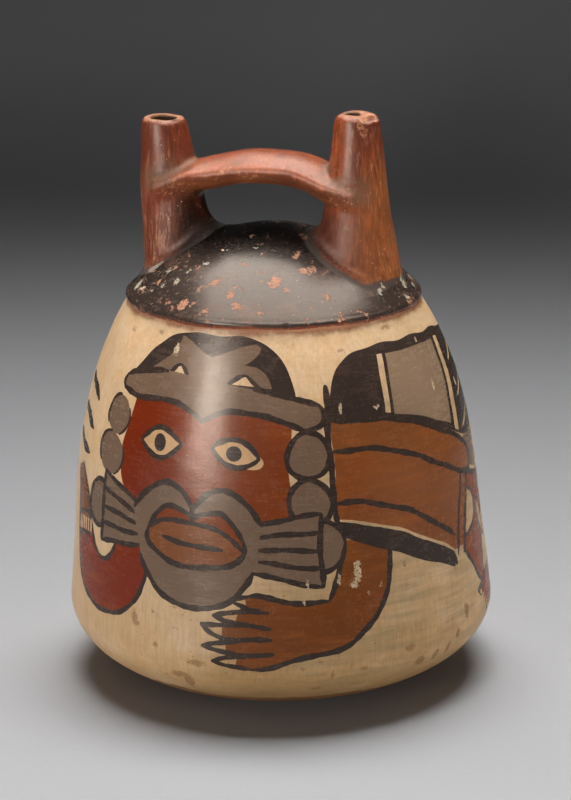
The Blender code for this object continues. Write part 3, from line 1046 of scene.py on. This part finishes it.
# ---- putting the mesh together ------------------------------------------------------------------
NET_STEP = 0.85
NET_LOW = np.array([-55.0, -53.0, SPLIT_HEIGHT])
NET_HIGH = np.array([53.0, 53.0, DESIGN_HEIGHT + 1.5])
CREAM_TOP = 131.2              # the cream slip ends here, just under the rim
STRAP_LAP = 2.6                # the red slip laps this far from the strap onto what it meets
FOOT_LAP = 3.4                 # and this far from a spout onto the clay round its foot
DUST_AND_SHADE_REACH = 5.0               # dust and painted shade lie this far out from the corners of strap and spouts
LIP_WEAR = 1.3                 # the slip is worn this far down from a lip
OWN_LIP = 9.0                  # and no further than this from the spout's axis
KNOCK_WEAR = 0.9               # it is worn this far round a knock
TIP_HEIGHT = 193.6             # most of all on the highest lip
STRAP_WEAR = 0.36              # how worn the sides of the strap are
STRAP_WORN = 36.0              # out to this far from the vessel's axis
RIM_WEAR = 0.25                # how worn the rim of the dome is
RIM_WORN = 48.0                # from this far out from the axis
DISC_SHARES = (0.8, 0.6, 0.4, 0.2)
WELD_STEPS = 1e4               # vertices in the same step of 1 / 10,000 mm are one
WELD_SHIFT = 0.37              # keeps round numbers away from the borders between steps
EDGE_FIELDS = ("red_edge", "cream_edge", "stain", "scrape", "flake")
AMOUNT_FIELDS = ("dust", "bare", "wear")


class Part:
    """Vertices with their normals, faces, and what the material reads from both.

    An edge field is the depth inside a zone in mm, below zero outside; an amount is 0 where there
    is nothing and 1 or a little more where there is much.
    """

    def __init__(self, vertices, normals, faces):
        self.vertices, self.normals, self.faces = vertices, normals, faces
        self.colours = np.tile(SLIPS["clay"], (len(faces), 1))
        self.kinds = np.zeros((len(faces), 3))
        for name in EDGE_FIELDS:
            setattr(self, name, np.full(len(vertices), NOWHERE))
        for name in AMOUNT_FIELDS:
            setattr(self, name, np.zeros(len(vertices)))


def border_loops(faces):
    """The open edges of a mesh of quads, chained into loops of vertex numbers."""
    edges = np.vstack([faces[:, [k, (k + 1) % faces.shape[1]]] for k in range(faces.shape[1])])
    known = set(map(tuple, edges.tolist()))
    following = {a: b for a, b in known if (b, a) not in known}
    loops = []
    while following:
        start, at = following.popitem()
        loop = [start]
        while at != start:
            loop.append(at)
            at = following.pop(at)
        loops.append(np.array(loop))
    return loops


def upper_part():
    """Dome, spouts and strap, cut open at the split height."""
    counts = np.ceil((NET_HIGH - NET_LOW) / NET_STEP).astype(int)
    axes = [NET_LOW[k] + NET_STEP * np.arange(counts[k]) for k in range(3)]
    grid = np.stack(np.meshgrid(*axes, indexing="ij"), -1).reshape(-1, 3)
    vertices, faces = surface_net(clay_field(grid).reshape(counts), NET_LOW, NET_STEP)
    return settle(vertices), faces


def ring_places(points):
    """u for points on a ring, measured round the axis of the unleaned vessel."""
    x = points[:, 0] + lean(points[:, 2])
    return np.arctan2(x, -points[:, 1]) * RING


def evened_ring(loop, us):
    """The loop and its places round the ring, both from the seam onwards and evenly stepped."""
    if np.sum(np.diff(us) > 0) < len(us) / 2:
        loop, us = loop[::-1], us[::-1]
    start = int(np.argmin(us))
    loop, us = np.roll(loop, -start), np.sort(us)
    wrapped = np.r_[us[-2:] - FULL_RING, us, us[:2] + FULL_RING]
    return loop, single(np.convolve(wrapped, np.full(5, 0.2), mode="valid"))


def closed_ring(us):
    """Places round a ring, with the last one repeated a turn earlier as the first."""
    return np.r_[us[-1] - FULL_RING, us]


def sheet_part(sheet, ring, layers, lattice, outward=True):
    """The wall from the foot to the ring, with its points in (u, t) and its triangles."""
    points, triangles = triangulate(sheet, ring, layers, lattice)
    u, t = points.T
    normals = sheet.normal(u, t)
    if not outward:
        triangles, normals = triangles[:, ::-1], -normals
    return Part(sheet.place(u, t), normals, triangles), points, triangles


def base_part(sheet, ring, outward=True):
    """The flat round under or inside the foot: rings of triangles round a fan."""
    us = foot_ring(ring)[1:]
    edge = sheet.place(us, np.zeros(len(us)))
    centre = np.array([0.0, 0.0, edge[0, 2]])
    rows = [edge] + [centre + share * (edge - centre) for share in DISC_SHARES]
    vertices = np.vstack([*rows, centre])
    count = len(us)
    steps = [(k, (k + 1) % count) for k in range(count)]
    last = len(DISC_SHARES) * count
    faces = []
    for start in range(0, last, count):
        for k, after in steps:
            a, b = start + k, start + after
            faces += [(a, a + count, b + count), (a, b + count, b)]
    faces += [(last + k, last + count, last + after) for k, after in steps]
    faces = np.array(faces)
    normals = np.tile([0.0, 0.0, -1.0], (len(vertices), 1))
    if not outward:
        faces, normals = faces[:, ::-1], -normals
    return Part(vertices, normals, faces)


# Slips that change along u: the first and the last colour, where the change starts and its length.
GRADED = {
    "face": ("dark red", "red", -30, 45),
    "panel": ("panel red", "orange", 44, 40),
}


def colour_of(name, u):
    """A slip's colour at places along u."""
    if name not in GRADED:
        return np.tile(SLIPS[name], (len(u), 1))
    first, last, start, length = GRADED[name]
    share = np.clip((u - start) / length, 0, 1)[:, None]
    return SLIPS[first] + share * (SLIPS[last] - SLIPS[first])


# Which column of the kind attribute a slip sets: pale, black or red; a grey slip sets none.
KINDS = {
    "cream": 0, "buff": 0,
    "black": 1,
    "face": 2, "panel": 2, "red": 2, "dark red": 2, "orange": 2, "brown": 2,
}


def paint_part(part, points, triangles, layers):
    """Gives each triangle the slip of the topmost layer over its middle."""
    middle = points[triangles].mean(1)
    part.colours[:] = SLIPS["cream"]
    part.kinds[:] = (1, 0, 0)
    undecided = np.arange(len(middle))
    for outline, name in reversed(layers):
        here = covers(outline, middle[undecided])
        hit = undecided[here]
        part.colours[hit] = colour_of(name, middle[hit, 0])
        part.kinds[hit] = 0
        if name in KINDS:
            part.kinds[hit, KINDS[name]] = 1
        undecided = undecided[~here]
    u, z = points[:, 0], part.vertices[:, 2]
    part.stain = mark_depth(u, z, WALL_STAINS)
    part.scrape = mark_depth(u, z, WALL_SCRAPES)


def finish_upper(part):
    """Where the red slip, the cream slip, bare clay and wear lie on the dome, spouts and strap."""
    x, y, z = part.vertices.T
    x = x + lean(z)
    distance = np.hypot(x, y)
    angle = np.arctan2(x, -y)
    part.colours[:] = SLIPS["black"]
    part.kinds[:] = (0, 1, 0)
    strap = strap_field(x, y, z)
    red = STRAP_LAP - strap
    corner = np.zeros(len(z))
    hollow = inner_table(distance, z)
    for spout in SPOUTS.values():
        away = np.hypot(x - spout_axis(spout, z), y)
        tube = away - spout_radius(spout, z)
        red = np.maximum(red, np.minimum(FOOT_LAP - tube, z - spout["red_from"]))
        corner = np.maximum(corner, 1.15 - np.abs(np.maximum(tube, strap)) / DUST_AND_SHADE_REACH)
        hollow = np.minimum(hollow, bore_field(spout, x, y, z))
        lip = np.clip(0.95 - (spout["lip"][1] - z) / LIP_WEAR, 0, 1) * (away < OWN_LIP)
        part.wear = np.maximum(part.wear, lip)
    over_strap = z - np.interp(x, STRAP_LINE[:, 0], STRAP_LINE[:, 1])
    part.red_edge = red
    part.cream_edge = CREAM_TOP + 0.25 * np.sin(3 * angle) + 0.15 * np.sin(11 * angle) - z
    # Dust in the corners where strap and spouts meet, darkened there as painted shade as well.
    part.dust = corner * np.clip((over_strap + 6.0) / 3.0, 0, 1)
    part.bare = np.clip(1.4 - np.abs(hollow), 0, 1)
    part.flake = mark_depth(x, y, DOME_FLAKES)
    part.scrape = mark_depth(x, y, DOME_CHALK)
    on_spouts = np.clip((z - 180.0) / 3.0, 0, 1)
    for ball in KNOCKS:
        knocked = np.clip(1.0 - off_ball(ball, x, y, z) / KNOCK_WEAR, 0, 1)
        part.wear = np.maximum(part.wear, knocked * (on_spouts * np.where(z > TIP_HEIGHT, 1.0, 0.6)))
    strap_sides = np.clip(1.6 - np.abs(strap), 0, 1) * np.clip((np.abs(y) - 7.4) / 2.0, 0, 1)
    part.wear = np.maximum(part.wear, STRAP_WEAR * strap_sides * (np.abs(x) < STRAP_WORN))
    rim = np.exp(-((z - RIM_HEIGHT) / 0.9) ** 2) * (distance > RIM_WORN)
    part.wear = np.maximum(part.wear, RIM_WEAR * rim)


def joined(parts):
    """One mesh from parts that share their border vertices, welded."""
    vertices = np.vstack([part.vertices for part in parts])
    keys = np.round(vertices * WELD_STEPS + WELD_SHIFT).astype(np.int64)
    _, first, number = np.unique(keys, axis=0, return_index=True, return_inverse=True)
    number = number.ravel()
    faces, colours, kinds, start = [], [], [], 0
    for part in parts:
        renumbered = number[part.faces + start]
        apart = renumbered != np.roll(renumbered, 1, axis=1)
        whole = apart.all(1)
        faces += renumbered[whole].tolist()
        size = part.faces.shape[1]
        colours.append(np.repeat(part.colours[whole], size, axis=0))
        kinds.append(np.repeat(part.kinds[whole], size, axis=0))
        start += len(part.vertices)
    mesh = bpy.data.meshes.new("painted_vessel")
    mesh.from_pydata((vertices[first] * MM).tolist(), [], faces)
    for name, rows in (("paint", colours), ("kind", kinds)):
        layer = mesh.attributes.new(name, "FLOAT_COLOR", "CORNER")
        rows = np.vstack(rows)
        layer.data.foreach_set("color", np.c_[rows, np.ones(len(rows))].ravel())
    for name in EDGE_FIELDS + AMOUNT_FIELDS:
        layer = mesh.attributes.new(name, "FLOAT", "POINT")
        layer.data.foreach_set("value", np.concatenate([getattr(part, name) for part in parts])[first])
    mesh.shade_smooth()
    normals = np.vstack([part.normals for part in parts])[first]
    mesh.normals_split_custom_set_from_vertices(normals.tolist())
    return mesh


def vessel_mesh():
    """The whole vessel: the upper part on two painted or bare walls, closed by the foot and its inside."""
    vertices, faces = upper_part()
    outer, inner = Sheet(OUTER), Sheet(INNER)
    loops = border_loops(faces)
    loops.sort(key=lambda loop: -np.hypot(*vertices[loop, :2].T).mean())
    normals = gradient(vertices)
    normals /= np.linalg.norm(normals, axis=1)[:, None] + 1e-9
    rings = []
    for sheet, loop, sense in zip((outer, inner), loops, (1, -1)):
        loop, us = evened_ring(loop, ring_places(vertices[loop]))
        top = np.full(len(us), sheet.length)
        vertices[loop] = sheet.place(us, top)
        normals[loop] = sense * sheet.normal(us, top)
        rings.append(closed_ring(us))
    layers = paint_bottle(outer)
    wall, points, triangles = sheet_part(outer, rings[0], layers, LATTICE)
    paint_part(wall, points, triangles, layers)
    lining, _, _ = sheet_part(inner, rings[1], [], INNER_LATTICE, outward=False)
    lining.bare[:] = 1
    upper = Part(vertices, normals, faces)
    finish_upper(upper)
    foot = base_part(outer, rings[0])
    floor = base_part(inner, rings[1], outward=False)
    foot.bare[:] = 1
    floor.bare[:] = 1
    return joined([upper, wall, lining, foot, floor])


# ---- material -----------------------------------------------------------------------------------
class Value:
    """What a shader node gives out. Sums, differences and products add nodes; a | b is the larger."""

    def __init__(self, shader, socket):
        self.shader, self.socket = shader, socket

    def __add__(self, other):
        return self.shader.math("ADD", self, other)

    def __radd__(self, other):
        return self.shader.math("ADD", other, self)

    def __sub__(self, other):
        return self.shader.math("SUBTRACT", self, other)

    def __rsub__(self, other):
        return self.shader.math("SUBTRACT", other, self)

    def __mul__(self, other):
        return self.shader.math("MULTIPLY", self, other)

    def __or__(self, other):
        return self.shader.math("MAXIMUM", self, other)

    def centred(self, amount):
        """Turns noise from 0 to 1 into a sway of half the amount to each side of 0."""
        return (self - 0.5) * amount

    def rise(self, low, high, start=0.0, end=1.0):
        """A smooth change from start to end as the value goes from low to high; low may be the larger."""
        inputs = {"Value": self, "From Min": low, "From Max": high, "To Min": start, "To Max": end}
        return self.shader.node("MapRange", "Result", inputs, interpolation_type="SMOOTHSTEP")

    def scaled(self, *factors):
        return self.shader.node("VectorMath", 0, {0: self, 1: factors}, operation="MULTIPLY")

    def rotated(self, *angles):
        inputs = {"Vector": self, "Rotation": angles}
        return self.shader.node("VectorRotate", 0, inputs, rotation_type="EULER_XYZ")


class Shader:
    """Short ways to add shader nodes to one material."""

    def __init__(self, name):
        self.material = bpy.data.materials.new(name)
        self.material.use_nodes = True
        self.nodes = self.material.node_tree.nodes
        self.links = self.material.node_tree.links

    def put(self, socket, value):
        if isinstance(value, Value):
            self.links.new(value.socket, socket)
        elif isinstance(value, np.ndarray) and len(socket.default_value) == 4:
            socket.default_value = (*value, 1.0)
        else:
            socket.default_value = value

    def node(self, kind, output, inputs=None, **settings):
        """One output of a new node; its inputs are given by name or number."""
        node = self.nodes.new("ShaderNode" + kind)
        for name, setting in settings.items():
            setattr(node, name, setting)
        for name, value in (inputs or {}).items():
            self.put(node.inputs[name], value)
        return Value(self, node.outputs[output])

    def math(self, operation, first, second, clamp=False):
        return self.node("Math", 0, {0: first, 1: second}, operation=operation, use_clamp=clamp)

    def attribute(self, name, output="Fac"):
        return self.node("Attribute", output, attribute_name=name)

    def place(self, unit):
        """The place on the object, measured in a unit that is given in metres."""
        return self.node("TexCoord", "Object").scaled(*[1 / unit] * 3)

    def parts(self, vector):
        """The x, y and z of a vector."""
        split = self.nodes.new("ShaderNodeSeparateXYZ")
        self.put(split.inputs[0], vector)
        return [Value(self, output) for output in split.outputs]

    def noise(self, vector, size, detail=3.0, rough=0.5, warp=0.0):
        """Noise whose features are about size across in the vector's units."""
        inputs = {"Vector": vector, "Scale": 1 / size, "Detail": detail, "Roughness": rough,
                  "Distortion": warp}
        return self.node("TexNoise", "Fac", inputs)

    def cells(self, vector, size):
        """Distance from the nearest of scattered points, in shares of their spacing."""
        return self.node("TexVoronoi", "Distance", {"Vector": vector, "Scale": 1 / size})

    def zone(self, name, rough, low=-0.15, high=0.15):
        """1 inside a zone given by its depth in mm, with a rough border."""
        return (self.attribute(name) + rough).rise(low, high)

    def toned(self, colour, value):
        """A colour made lighter or darker by a number."""
        return self.node("VectorMath", 0, {0: colour, 3: value}, operation="SCALE")

    def layered(self, colour, *coats):
        """A colour under coats laid one after another, each given as (share, colour)."""
        for share, coat in coats:
            inputs = {"Factor": share, 6: colour, 7: coat}
            colour = self.node("Mix", 2, inputs, data_type="RGBA")
        return colour

    def finish(self, **surface):
        """The material, with the values of its surface under their sockets' names, _ for a space."""
        for name, value in surface.items():
            self.put(self.nodes["Principled BSDF"].inputs[name.replace("_", " ")], value)
        return self.material


def pottery_fields(sh):
    """What all coats share: the place in mm, noises of several sizes, and which slip lies where."""
    place = sh.place(MM)
    x, _, z = sh.parts(place)
    painted_cream, painted_black, painted_red = sh.parts(sh.attribute("kind", "Color"))
    f = SimpleNamespace(place=place, x=x, z=z, painted_black=painted_black)
    f.clouds = sh.noise(place, 26, 3, 0.55)
    f.patches = sh.noise(place, 9, 4, 0.6)
    f.blots = sh.noise(place, 3.4, 4, 0.6)
    f.crumbs = sh.noise(place, 1.25, 3, 0.6)
    f.grain = sh.noise(place, 0.75, 3, 0.7)
    f.wiped = sh.noise(place.scaled(0.10, 0.10, 1.0), 2.2, 4, 0.65)
    f.fibres = sh.noise(place.scaled(0.14, 0.14, 1.0), 0.8, 4, 0.7)
    f.brush = sh.noise(place.scaled(1.0, 1.0, 0.09), 1.1, 4, 0.65)
    f.red_top = sh.zone("red_edge", f.blots.centred(2.4) + f.crumbs.centred(1.0), -0.3, 0.5)
    f.cream_top = sh.zone("cream_edge", f.crumbs.centred(0.9))
    f.cream = painted_cream | f.cream_top
    f.black = painted_black * (1 - (f.red_top | f.cream_top))
    f.red = painted_red | f.red_top
    f.on_dome = z.rise(122, 134)
    f.on_strap = x.rise(-36, -27) * x.rise(32, 23) * z.rise(160, 165)
    # The hollow between the spouts under the strap, strongest on the left spout's inner side: painted shade
    # goes here.
    f.hollow = x.rise(-38, -28) * x.rise(30, 20) * z.rise(173, 163) * x.rise(30, -10, 0.40, 0.95)
    f.upright = f.red_top * (1 - f.on_strap)
    f.level = 1 - f.upright
    f.low = z.rise(66, 14)
    f.tone = (0.84 + f.clouds * 0.32) * (0.91 + f.grain * 0.18) * (1.0 + f.level * f.fibres.centred(0.24))
    return f


def slip_colour(sh, f):
    """The slips as painted. The red of the spouts and strap changes, and is darkened as painted shade between
    the spouts and under the strap.
    """
    faces_up = sh.parts(sh.node("NewGeometry", "Normal"))[2]
    # painted shade: the strap's downward-facing side is darkened
    painted_shade_under_strap = f.on_strap * faces_up.rise(0.10, -0.50)
    spout_red = sh.layered(
        SLIPS["spout"],
        (f.x.rise(24, 44), srgb(132, 74, 34)),
        (f.z.rise(172, 190), srgb(106, 45, 28)),
        (f.on_strap, srgb(146, 72, 42)),
        # painted shade: the spouts' inner sides under the strap turn near-black
        (f.hollow, srgb(24, 10, 5)),
        (painted_shade_under_strap * 0.85, srgb(76, 42, 24)),
    )
    painted = sh.attribute("paint", "Color")
    return sh.layered(painted, (f.red_top, spout_red), (f.cream_top, SLIPS["cream"]))


def burnished(sh, f, colour):
    """Thin and thick slip: clouding, runs, dust, painted shade and the lines left by the burnishing pebble.
    """
    colour = sh.toned(colour, f.tone)
    stroked = sh.toned(colour, f.brush.rise(0.30, 0.72, 0.70, 1.25))
    smoke = sh.noise(f.place.scaled(0.6, 0.6, 0.30), 3.2, 4, 0.6)
    smoky = f.red_top * smoke.rise(0.46, 0.68) * 0.55
    # runs and golden strokes stay out of the painted shade between the spouts
    outside_painted_shade = 1 - f.hollow
    left_foot = f.x.rise(-30, -36) * f.z.rise(176, 156)
    runs = sh.noise(f.place.scaled(1.0, 1.0, 0.12), 0.8, 3, 0.6) + left_foot * 0.05
    runs = f.upright * runs.rise(0.54, 0.66) * f.patches.rise(0.40, 0.60) * outside_painted_shade
    f.dust = f.red_top * sh.attribute("dust") * f.blots.rise(0.30, 0.62)
    strokes = f.level * f.wiped + f.upright * f.brush
    golden = f.red * strokes.rise(0.46, 0.70) * 0.30 * outside_painted_shade
    uneven = (f.patches + f.fibres.centred(0.5)).rise(0.50, 0.72)
    thin_black = f.black * uneven * (0.22 + f.on_dome * 0.28)
    dusty = f.painted_black * f.crumbs.rise(0.56, 0.72) * (0.05 + f.on_dome * 0.10)
    # painted shade: the dome's top between the spouts, under the strap, is darkened almost to black
    painted_shade_on_dome = f.black * f.hollow * f.z.rise(144, 151)
    return sh.layered(
        colour,
        (f.red_top, stroked),
        (smoky, sh.toned(srgb(92, 38, 20), f.tone)),
        (runs * 0.50, srgb(178, 132, 102)),
        # dust and painted shade in the corners of strap and spouts: a darker grey-brown
        (f.dust * 0.85, sh.toned(srgb(102, 78, 58), f.tone)),
        (golden, srgb(158, 88, 36)),
        (thin_black, srgb(84, 56, 43)),
        (dusty, srgb(112, 98, 86)),
        (painted_shade_on_dome, srgb(20, 15, 12)),
    )


def stained(sh, f, colour):
    """Cream slip: brown patches and greenish streaks, a browner tint towards the foot and the right, and a
    brown band round the foot.
    """
    warm = f.cream * f.patches.rise(0.42, 0.70) * 0.40
    right_side = (f.x - f.z * 0.5).rise(-30, 10)
    # browner and darker towards the foot and towards the right side
    browner_low_and_right = f.cream * (f.low * 0.60 + right_side * 0.35) * f.clouds.rise(0.22, 0.58)
    greenish = f.cream * f.wiped.rise(0.30, 0.80) * (right_side * 0.60 + 0.06)
    colour = sh.layered(
        colour,
        (warm, srgb(196, 146, 92)),
        (browner_low_and_right, srgb(170, 131, 86)),
        (greenish, srgb(128, 114, 80)),
    )
    wipes = sh.toned(colour, f.brush.rise(0.30, 0.70, 0.90, 1.07))
    smudge = f.cream * sh.noise(f.place, 5.5, 5, 0.68, 0.6).rise(0.60, 0.74) * 0.6
    # A broken brown band just under the rim: partly a stain, partly painted shade under the rim's overhang.
    under_rim = (f.z + (f.patches.centred(4.0) + f.crumbs.centred(1.6))).rise(128.8, 130.8)
    # a brown band round the lowest part of the wall, about 9 mm high
    f.foot_clay = (f.z + f.clouds.centred(7.0) + f.blots.centred(2.0)).rise(9.6, 8.6)
    f.stain = sh.zone("stain", f.crumbs.centred(2.6) - 0.2, -0.3, 0.4)
    return sh.layered(
        colour,
        (f.cream, wipes),
        (smudge, srgb(140, 98, 58)),
        (f.cream * under_rim * 0.8, srgb(126, 68, 40)),
        (f.foot_clay * 0.9, sh.toned(srgb(128, 86, 50), f.tone)),
        (f.stain * 0.75, sh.toned(srgb(134, 98, 64), f.tone)),
    )


def pitted(sh, f, colour):
    """Pits in the pale slips, and pocks, flakes and nicks in the dark ones."""
    pit_zone = (f.patches + f.low * 0.10).rise(0.50, 0.62)
    f.pits = sh.cells(f.place.scaled(1.0, 1.0, 1.4), 3.4).rise(0.11, 0.05) * pit_zone * (1 - f.black)
    f.pocks = sh.cells(f.place, 1.7).rise(0.17, 0.09) * f.patches.rise(0.46, 0.60) * f.on_dome * f.black
    loose = sh.noise(f.place, 5.0, 4, 0.62).rise(0.62, 0.66) * f.crumbs.rise(0.44, 0.52) * 0.85
    torn = f.crumbs.centred(3.8) + f.grain.centred(2.4) - 0.8
    f.flakes = (sh.zone("flake", torn) | loose * f.on_dome) * f.black
    nick_zone = sh.noise(f.place, 11, 4, 0.65).rise(0.50, 0.62)
    dark = (f.black | f.red) * (0.30 + f.on_dome * 0.70)
    f.nicks = sh.cells(f.place.scaled(1.2, 0.9, 1.0), 1.9).rise(0.17, 0.08) * nick_zone * dark
    return sh.layered(
        colour,
        (f.pits * 0.75, srgb(84, 56, 36)),
        (f.pocks, srgb(38, 28, 22)),
        (f.flakes, sh.toned(srgb(166, 112, 82), f.grain.rise(0.34, 0.62, 0.50, 1.12))),
        (f.nicks * 0.75, srgb(196, 160, 124)),
    )


def scratched(sh, f, colour):
    """Fine scratches, pale flecks at the dome's sides, rust under its rim, scrapes and chalky marks."""
    lines = sh.noise(f.place.rotated(0.5, 0.9, 0.3).scaled(1.0, 0.05, 1.0), 0.5, 2, 0.5)
    scratches = lines.rise(0.69, 0.75) * f.patches.rise(0.46, 0.60) * 0.40
    flecks = sh.cells(f.place.rotated(0.0, 0.5, -0.41).scaled(0.42, 1.0, 1.0), 1.5)
    flecks = (flecks + f.grain.centred(0.3)).rise(0.17, 0.10)
    sides = (f.x + f.clouds.centred(30.0)).rise(-12, -26) | f.x.rise(40, 45)
    flecks = flecks * sides * f.blots.rise(0.44, 0.54) * (f.on_dome * f.black)
    rust = sh.zone("cream_edge", f.blots.centred(2.0) + 0.9, -0.3, 0.5) * f.black
    f.scrape = sh.zone("scrape", f.crumbs.centred(3.2) - 0.3, -0.1, 0.1)
    f.scrape = f.scrape * f.grain.rise(0.34, 0.50) * (1 - f.red_top)
    chalk = sh.layered(srgb(196, 172, 140), (f.on_dome, srgb(180, 172, 152)))
    return sh.layered(
        colour,
        (scratches, srgb(190, 152, 118)),
        (flecks * 0.85, sh.toned(srgb(196, 170, 136), f.tone)),
        (rust * 0.8, sh.toned(srgb(120, 58, 36), f.tone)),
        (f.scrape * 0.85, sh.toned(chalk, 0.5 + f.crumbs)),
    )


def worn_to_clay(sh, f, colour):
    """Worn lips and strap edges, and bare clay inside and underneath."""
    worn = sh.attribute("wear") + f.crumbs.centred(1.3) + f.patches.centred(0.9)
    f.worn = worn.rise(0.50, 0.80) * 0.85
    f.bare = sh.attribute("bare").rise(0.3, 0.9)
    return sh.layered(
        colour,
        (f.worn, sh.toned(srgb(182, 122, 86), 0.75 + f.grain * 0.5)),
        (f.bare, sh.toned(srgb(132, 86, 54), f.tone)),
    )


def pottery_roughness(sh, f):
    """The burnish is glossiest on the black; losses, dirt and the red slip's edges are dull."""
    matt = 0.13 + f.z.rise(174, 160) * 0.13
    off_red = 1 - f.red_top
    rough = (0.17 + f.patches * 0.18 + f.cream * 0.12 + f.red_top * f.brush.centred(0.24)
             + f.upright * matt + f.crumbs.centred(0.10)
             + off_red * f.fibres.centred(0.16) + off_red * f.brush.centred(0.08))
    seam = sh.zone("red_edge", 3.0, 0.0, 2.0) * sh.zone("red_edge", -1.6, 1.3, 0.3)
    dull = f.flakes | f.worn | f.bare | f.foot_clay | seam * 1.4 | f.dust | f.scrape | f.stain * 0.8 | f.pocks
    return sh.math("ADD", rough, dull * 0.40, clamp=True)


def pottery_relief(sh, f):
    """Brushed and grainy slip, with losses that lie lower than the slip around them."""
    height = (f.patches * 0.55 + f.grain * 0.20 + f.level * f.fibres * 0.22
              + f.brush * (0.12 + f.red_top * 0.25)
              - (f.flakes | f.pits | f.pocks) * 0.45 - f.nicks * 0.2)
    return sh.node("Bump", "Normal", {"Strength": 0.6, "Distance": 0.3 * MM, "Height": height})


def pottery_finish():
    """The whole material: one coat over another, from the slips to the bare clay."""
    sh = Shader("burnished_slip_paint")
    f = pottery_fields(sh)
    colour = slip_colour(sh, f)
    for coat in (burnished, stained, pitted, scratched, worn_to_clay):
        colour = coat(sh, f, colour)
    return sh.finish(Base_Color=colour, Roughness=pottery_roughness(sh, f), Specular_IOR_Level=0.2,
                     Normal=pottery_relief(sh, f))


def linked(name, data):
    """A new object in the scene."""
    thing = bpy.data.objects.new(name, data)
    bpy.context.scene.collection.objects.link(thing)
    return thing


vessel = linked("painted_vessel", vessel_mesh())
vessel.data.materials.append(pottery_finish())
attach(vessel, "root")
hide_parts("vessel")


# ---- camera, floor and light --------------------------------------------------------------------
CAMERA_AZIMUTH = math.radians(19.5)
CAMERA_DISTANCE = 1.0          # metres, level, from the vessel's axis
CAMERA_HEIGHT = 0.37265
CAMERA_AIM = 0.093757          # height of the point that the camera looks at
CAMERA_SHIFT = 0.002568        # the camera and its aim lie this far to the right
CAMERA_ROLL = -0.006
LENS = 135.8
RIGHT = Vector((math.cos(CAMERA_AZIMUTH), math.sin(CAMERA_AZIMUTH), 0))
AHEAD = Vector((-math.sin(CAMERA_AZIMUTH), math.cos(CAMERA_AZIMUTH), 0))
UP = Vector((0, 0, 1))
LIGHT_CENTRE = UP * 0.09       # what the lights' turns and elevations are measured round
FLOOR_HALF = 6.0
WARM = (1.0, 0.86, 0.74)
WHITE = (1.0, 1.0, 1.0)


def point_at(thing, target, roll):
    """Turns a camera or light to face the target, then rolls it about its own line of sight."""
    thing.rotation_euler = (target - thing.location).to_track_quat("-Z", "Y").to_euler()
    thing.rotation_euler.rotate_axis("Z", roll)


def make_camera():
    """The photo's view: a little from above, and from the right of the vessel's front."""
    camera = linked("camera", bpy.data.cameras.new("camera"))
    camera.data.sensor_width = 36.0
    camera.data.lens = LENS
    camera.location = -AHEAD * CAMERA_DISTANCE + RIGHT * CAMERA_SHIFT + UP * CAMERA_HEIGHT
    point_at(camera, RIGHT * CAMERA_SHIFT + UP * CAMERA_AIM, CAMERA_ROLL)
    bpy.context.scene.camera = camera


def make_floor():
    """Pale paper under the vessel, up to the horizon."""
    mesh = bpy.data.meshes.new("floor")
    corners = [(FLOOR_HALF * x, FLOOR_HALF * y, 0) for x, y in ((-1, -1), (1, -1), (1, 1), (-1, 1))]
    mesh.from_pydata(corners, [], [(0, 1, 2, 3)])
    sh = Shader("pale_paper")
    tone = 0.97 + sh.noise(sh.place(0.001), 1.6, 3, 0.6) * 0.06
    colour = sh.toned(srgb(160, 160, 161), tone)
    mesh.materials.append(sh.finish(Base_Color=colour, Roughness=0.85, Specular_IOR_Level=0.0))
    floor = linked("floor", mesh)


def add_softbox(name, turn, elevation, distance, size, radiance, shine_only=False, cover_only=False,
                spread=180, aim=(0.0, 0.0, 0.09), roll=0):
    """An area light whose turn, to the right of the camera, elevation, spread and roll are in degrees.

    Its aim is (right, ahead, up) of the vessel's axis on the floor. A light for shine only adds
    a reflection and no diffuse light; one for cover only does the opposite.
    """
    light = bpy.data.lights.new(name, "AREA")
    light.shape = "RECTANGLE"
    light.size, light.size_y = size
    light.energy = radiance * math.pi * size[0] * size[1]
    light.spread = math.radians(spread)
    light.color = WARM if shine_only else WHITE
    lamp = linked(name, light)
    lamp.visible_diffuse = not shine_only
    lamp.visible_glossy = not cover_only
    azimuth, rise = CAMERA_AZIMUTH + math.radians(turn), math.radians(elevation)
    level = Vector((math.sin(azimuth), -math.cos(azimuth), 0))
    lamp.location = LIGHT_CENTRE + (level * math.cos(rise) + UP * math.sin(rise)) * distance
    point_at(lamp, RIGHT * aim[0] + AHEAD * aim[1] + UP * aim[2], math.radians(roll))


def light_scene():
    """The studio: two lights that are only seen as reflections, six that add none, and a dim world."""
    add_softbox("strip", -43, 20, 1.1, (0.27, 0.85), 42.0, shine_only=True, roll=14)
    add_softbox("ceiling", 168, 84, 1.1, (1.35, 1.2), 14.0, shine_only=True)
    add_softbox("left_cover", -64, -2.2, 0.9, (0.6, 0.10), 20.4, cover_only=True)
    add_softbox("front_cover", -4, -1.8, 1.1, (0.58, 0.12), 13.0, cover_only=True)
    add_softbox("right_cover", 72, -2.2, 0.9, (0.6, 0.10), 15.8, cover_only=True)
    add_softbox("face_cover", -8, 8, 1.2, (0.3, 0.08), 0.7, cover_only=True,
                spread=8, aim=(-0.01, 0.0, 0.15))
    add_softbox("top_cover", -11, 102.4, 1.5, (1.12, 0.52), 4.4, cover_only=True,
                spread=68, aim=(0.0, -0.31, 0.0))
    add_softbox("backdrop", 180, 30, 2.3, (1.2, 0.6), 0.36, cover_only=True,
                spread=90, aim=(0.0, 1.3, 0.0))
    world = bpy.data.worlds.new("studio")
    world.use_nodes = True
    background = world.node_tree.nodes["Background"]
    background.inputs["Color"].default_value = (*WHITE, 1.0)
    background.inputs["Strength"].default_value = 0.02
    bpy.context.scene.world = world
    bpy.context.scene.view_settings.view_transform = "Standard"


make_camera()
make_floor()
light_scene()
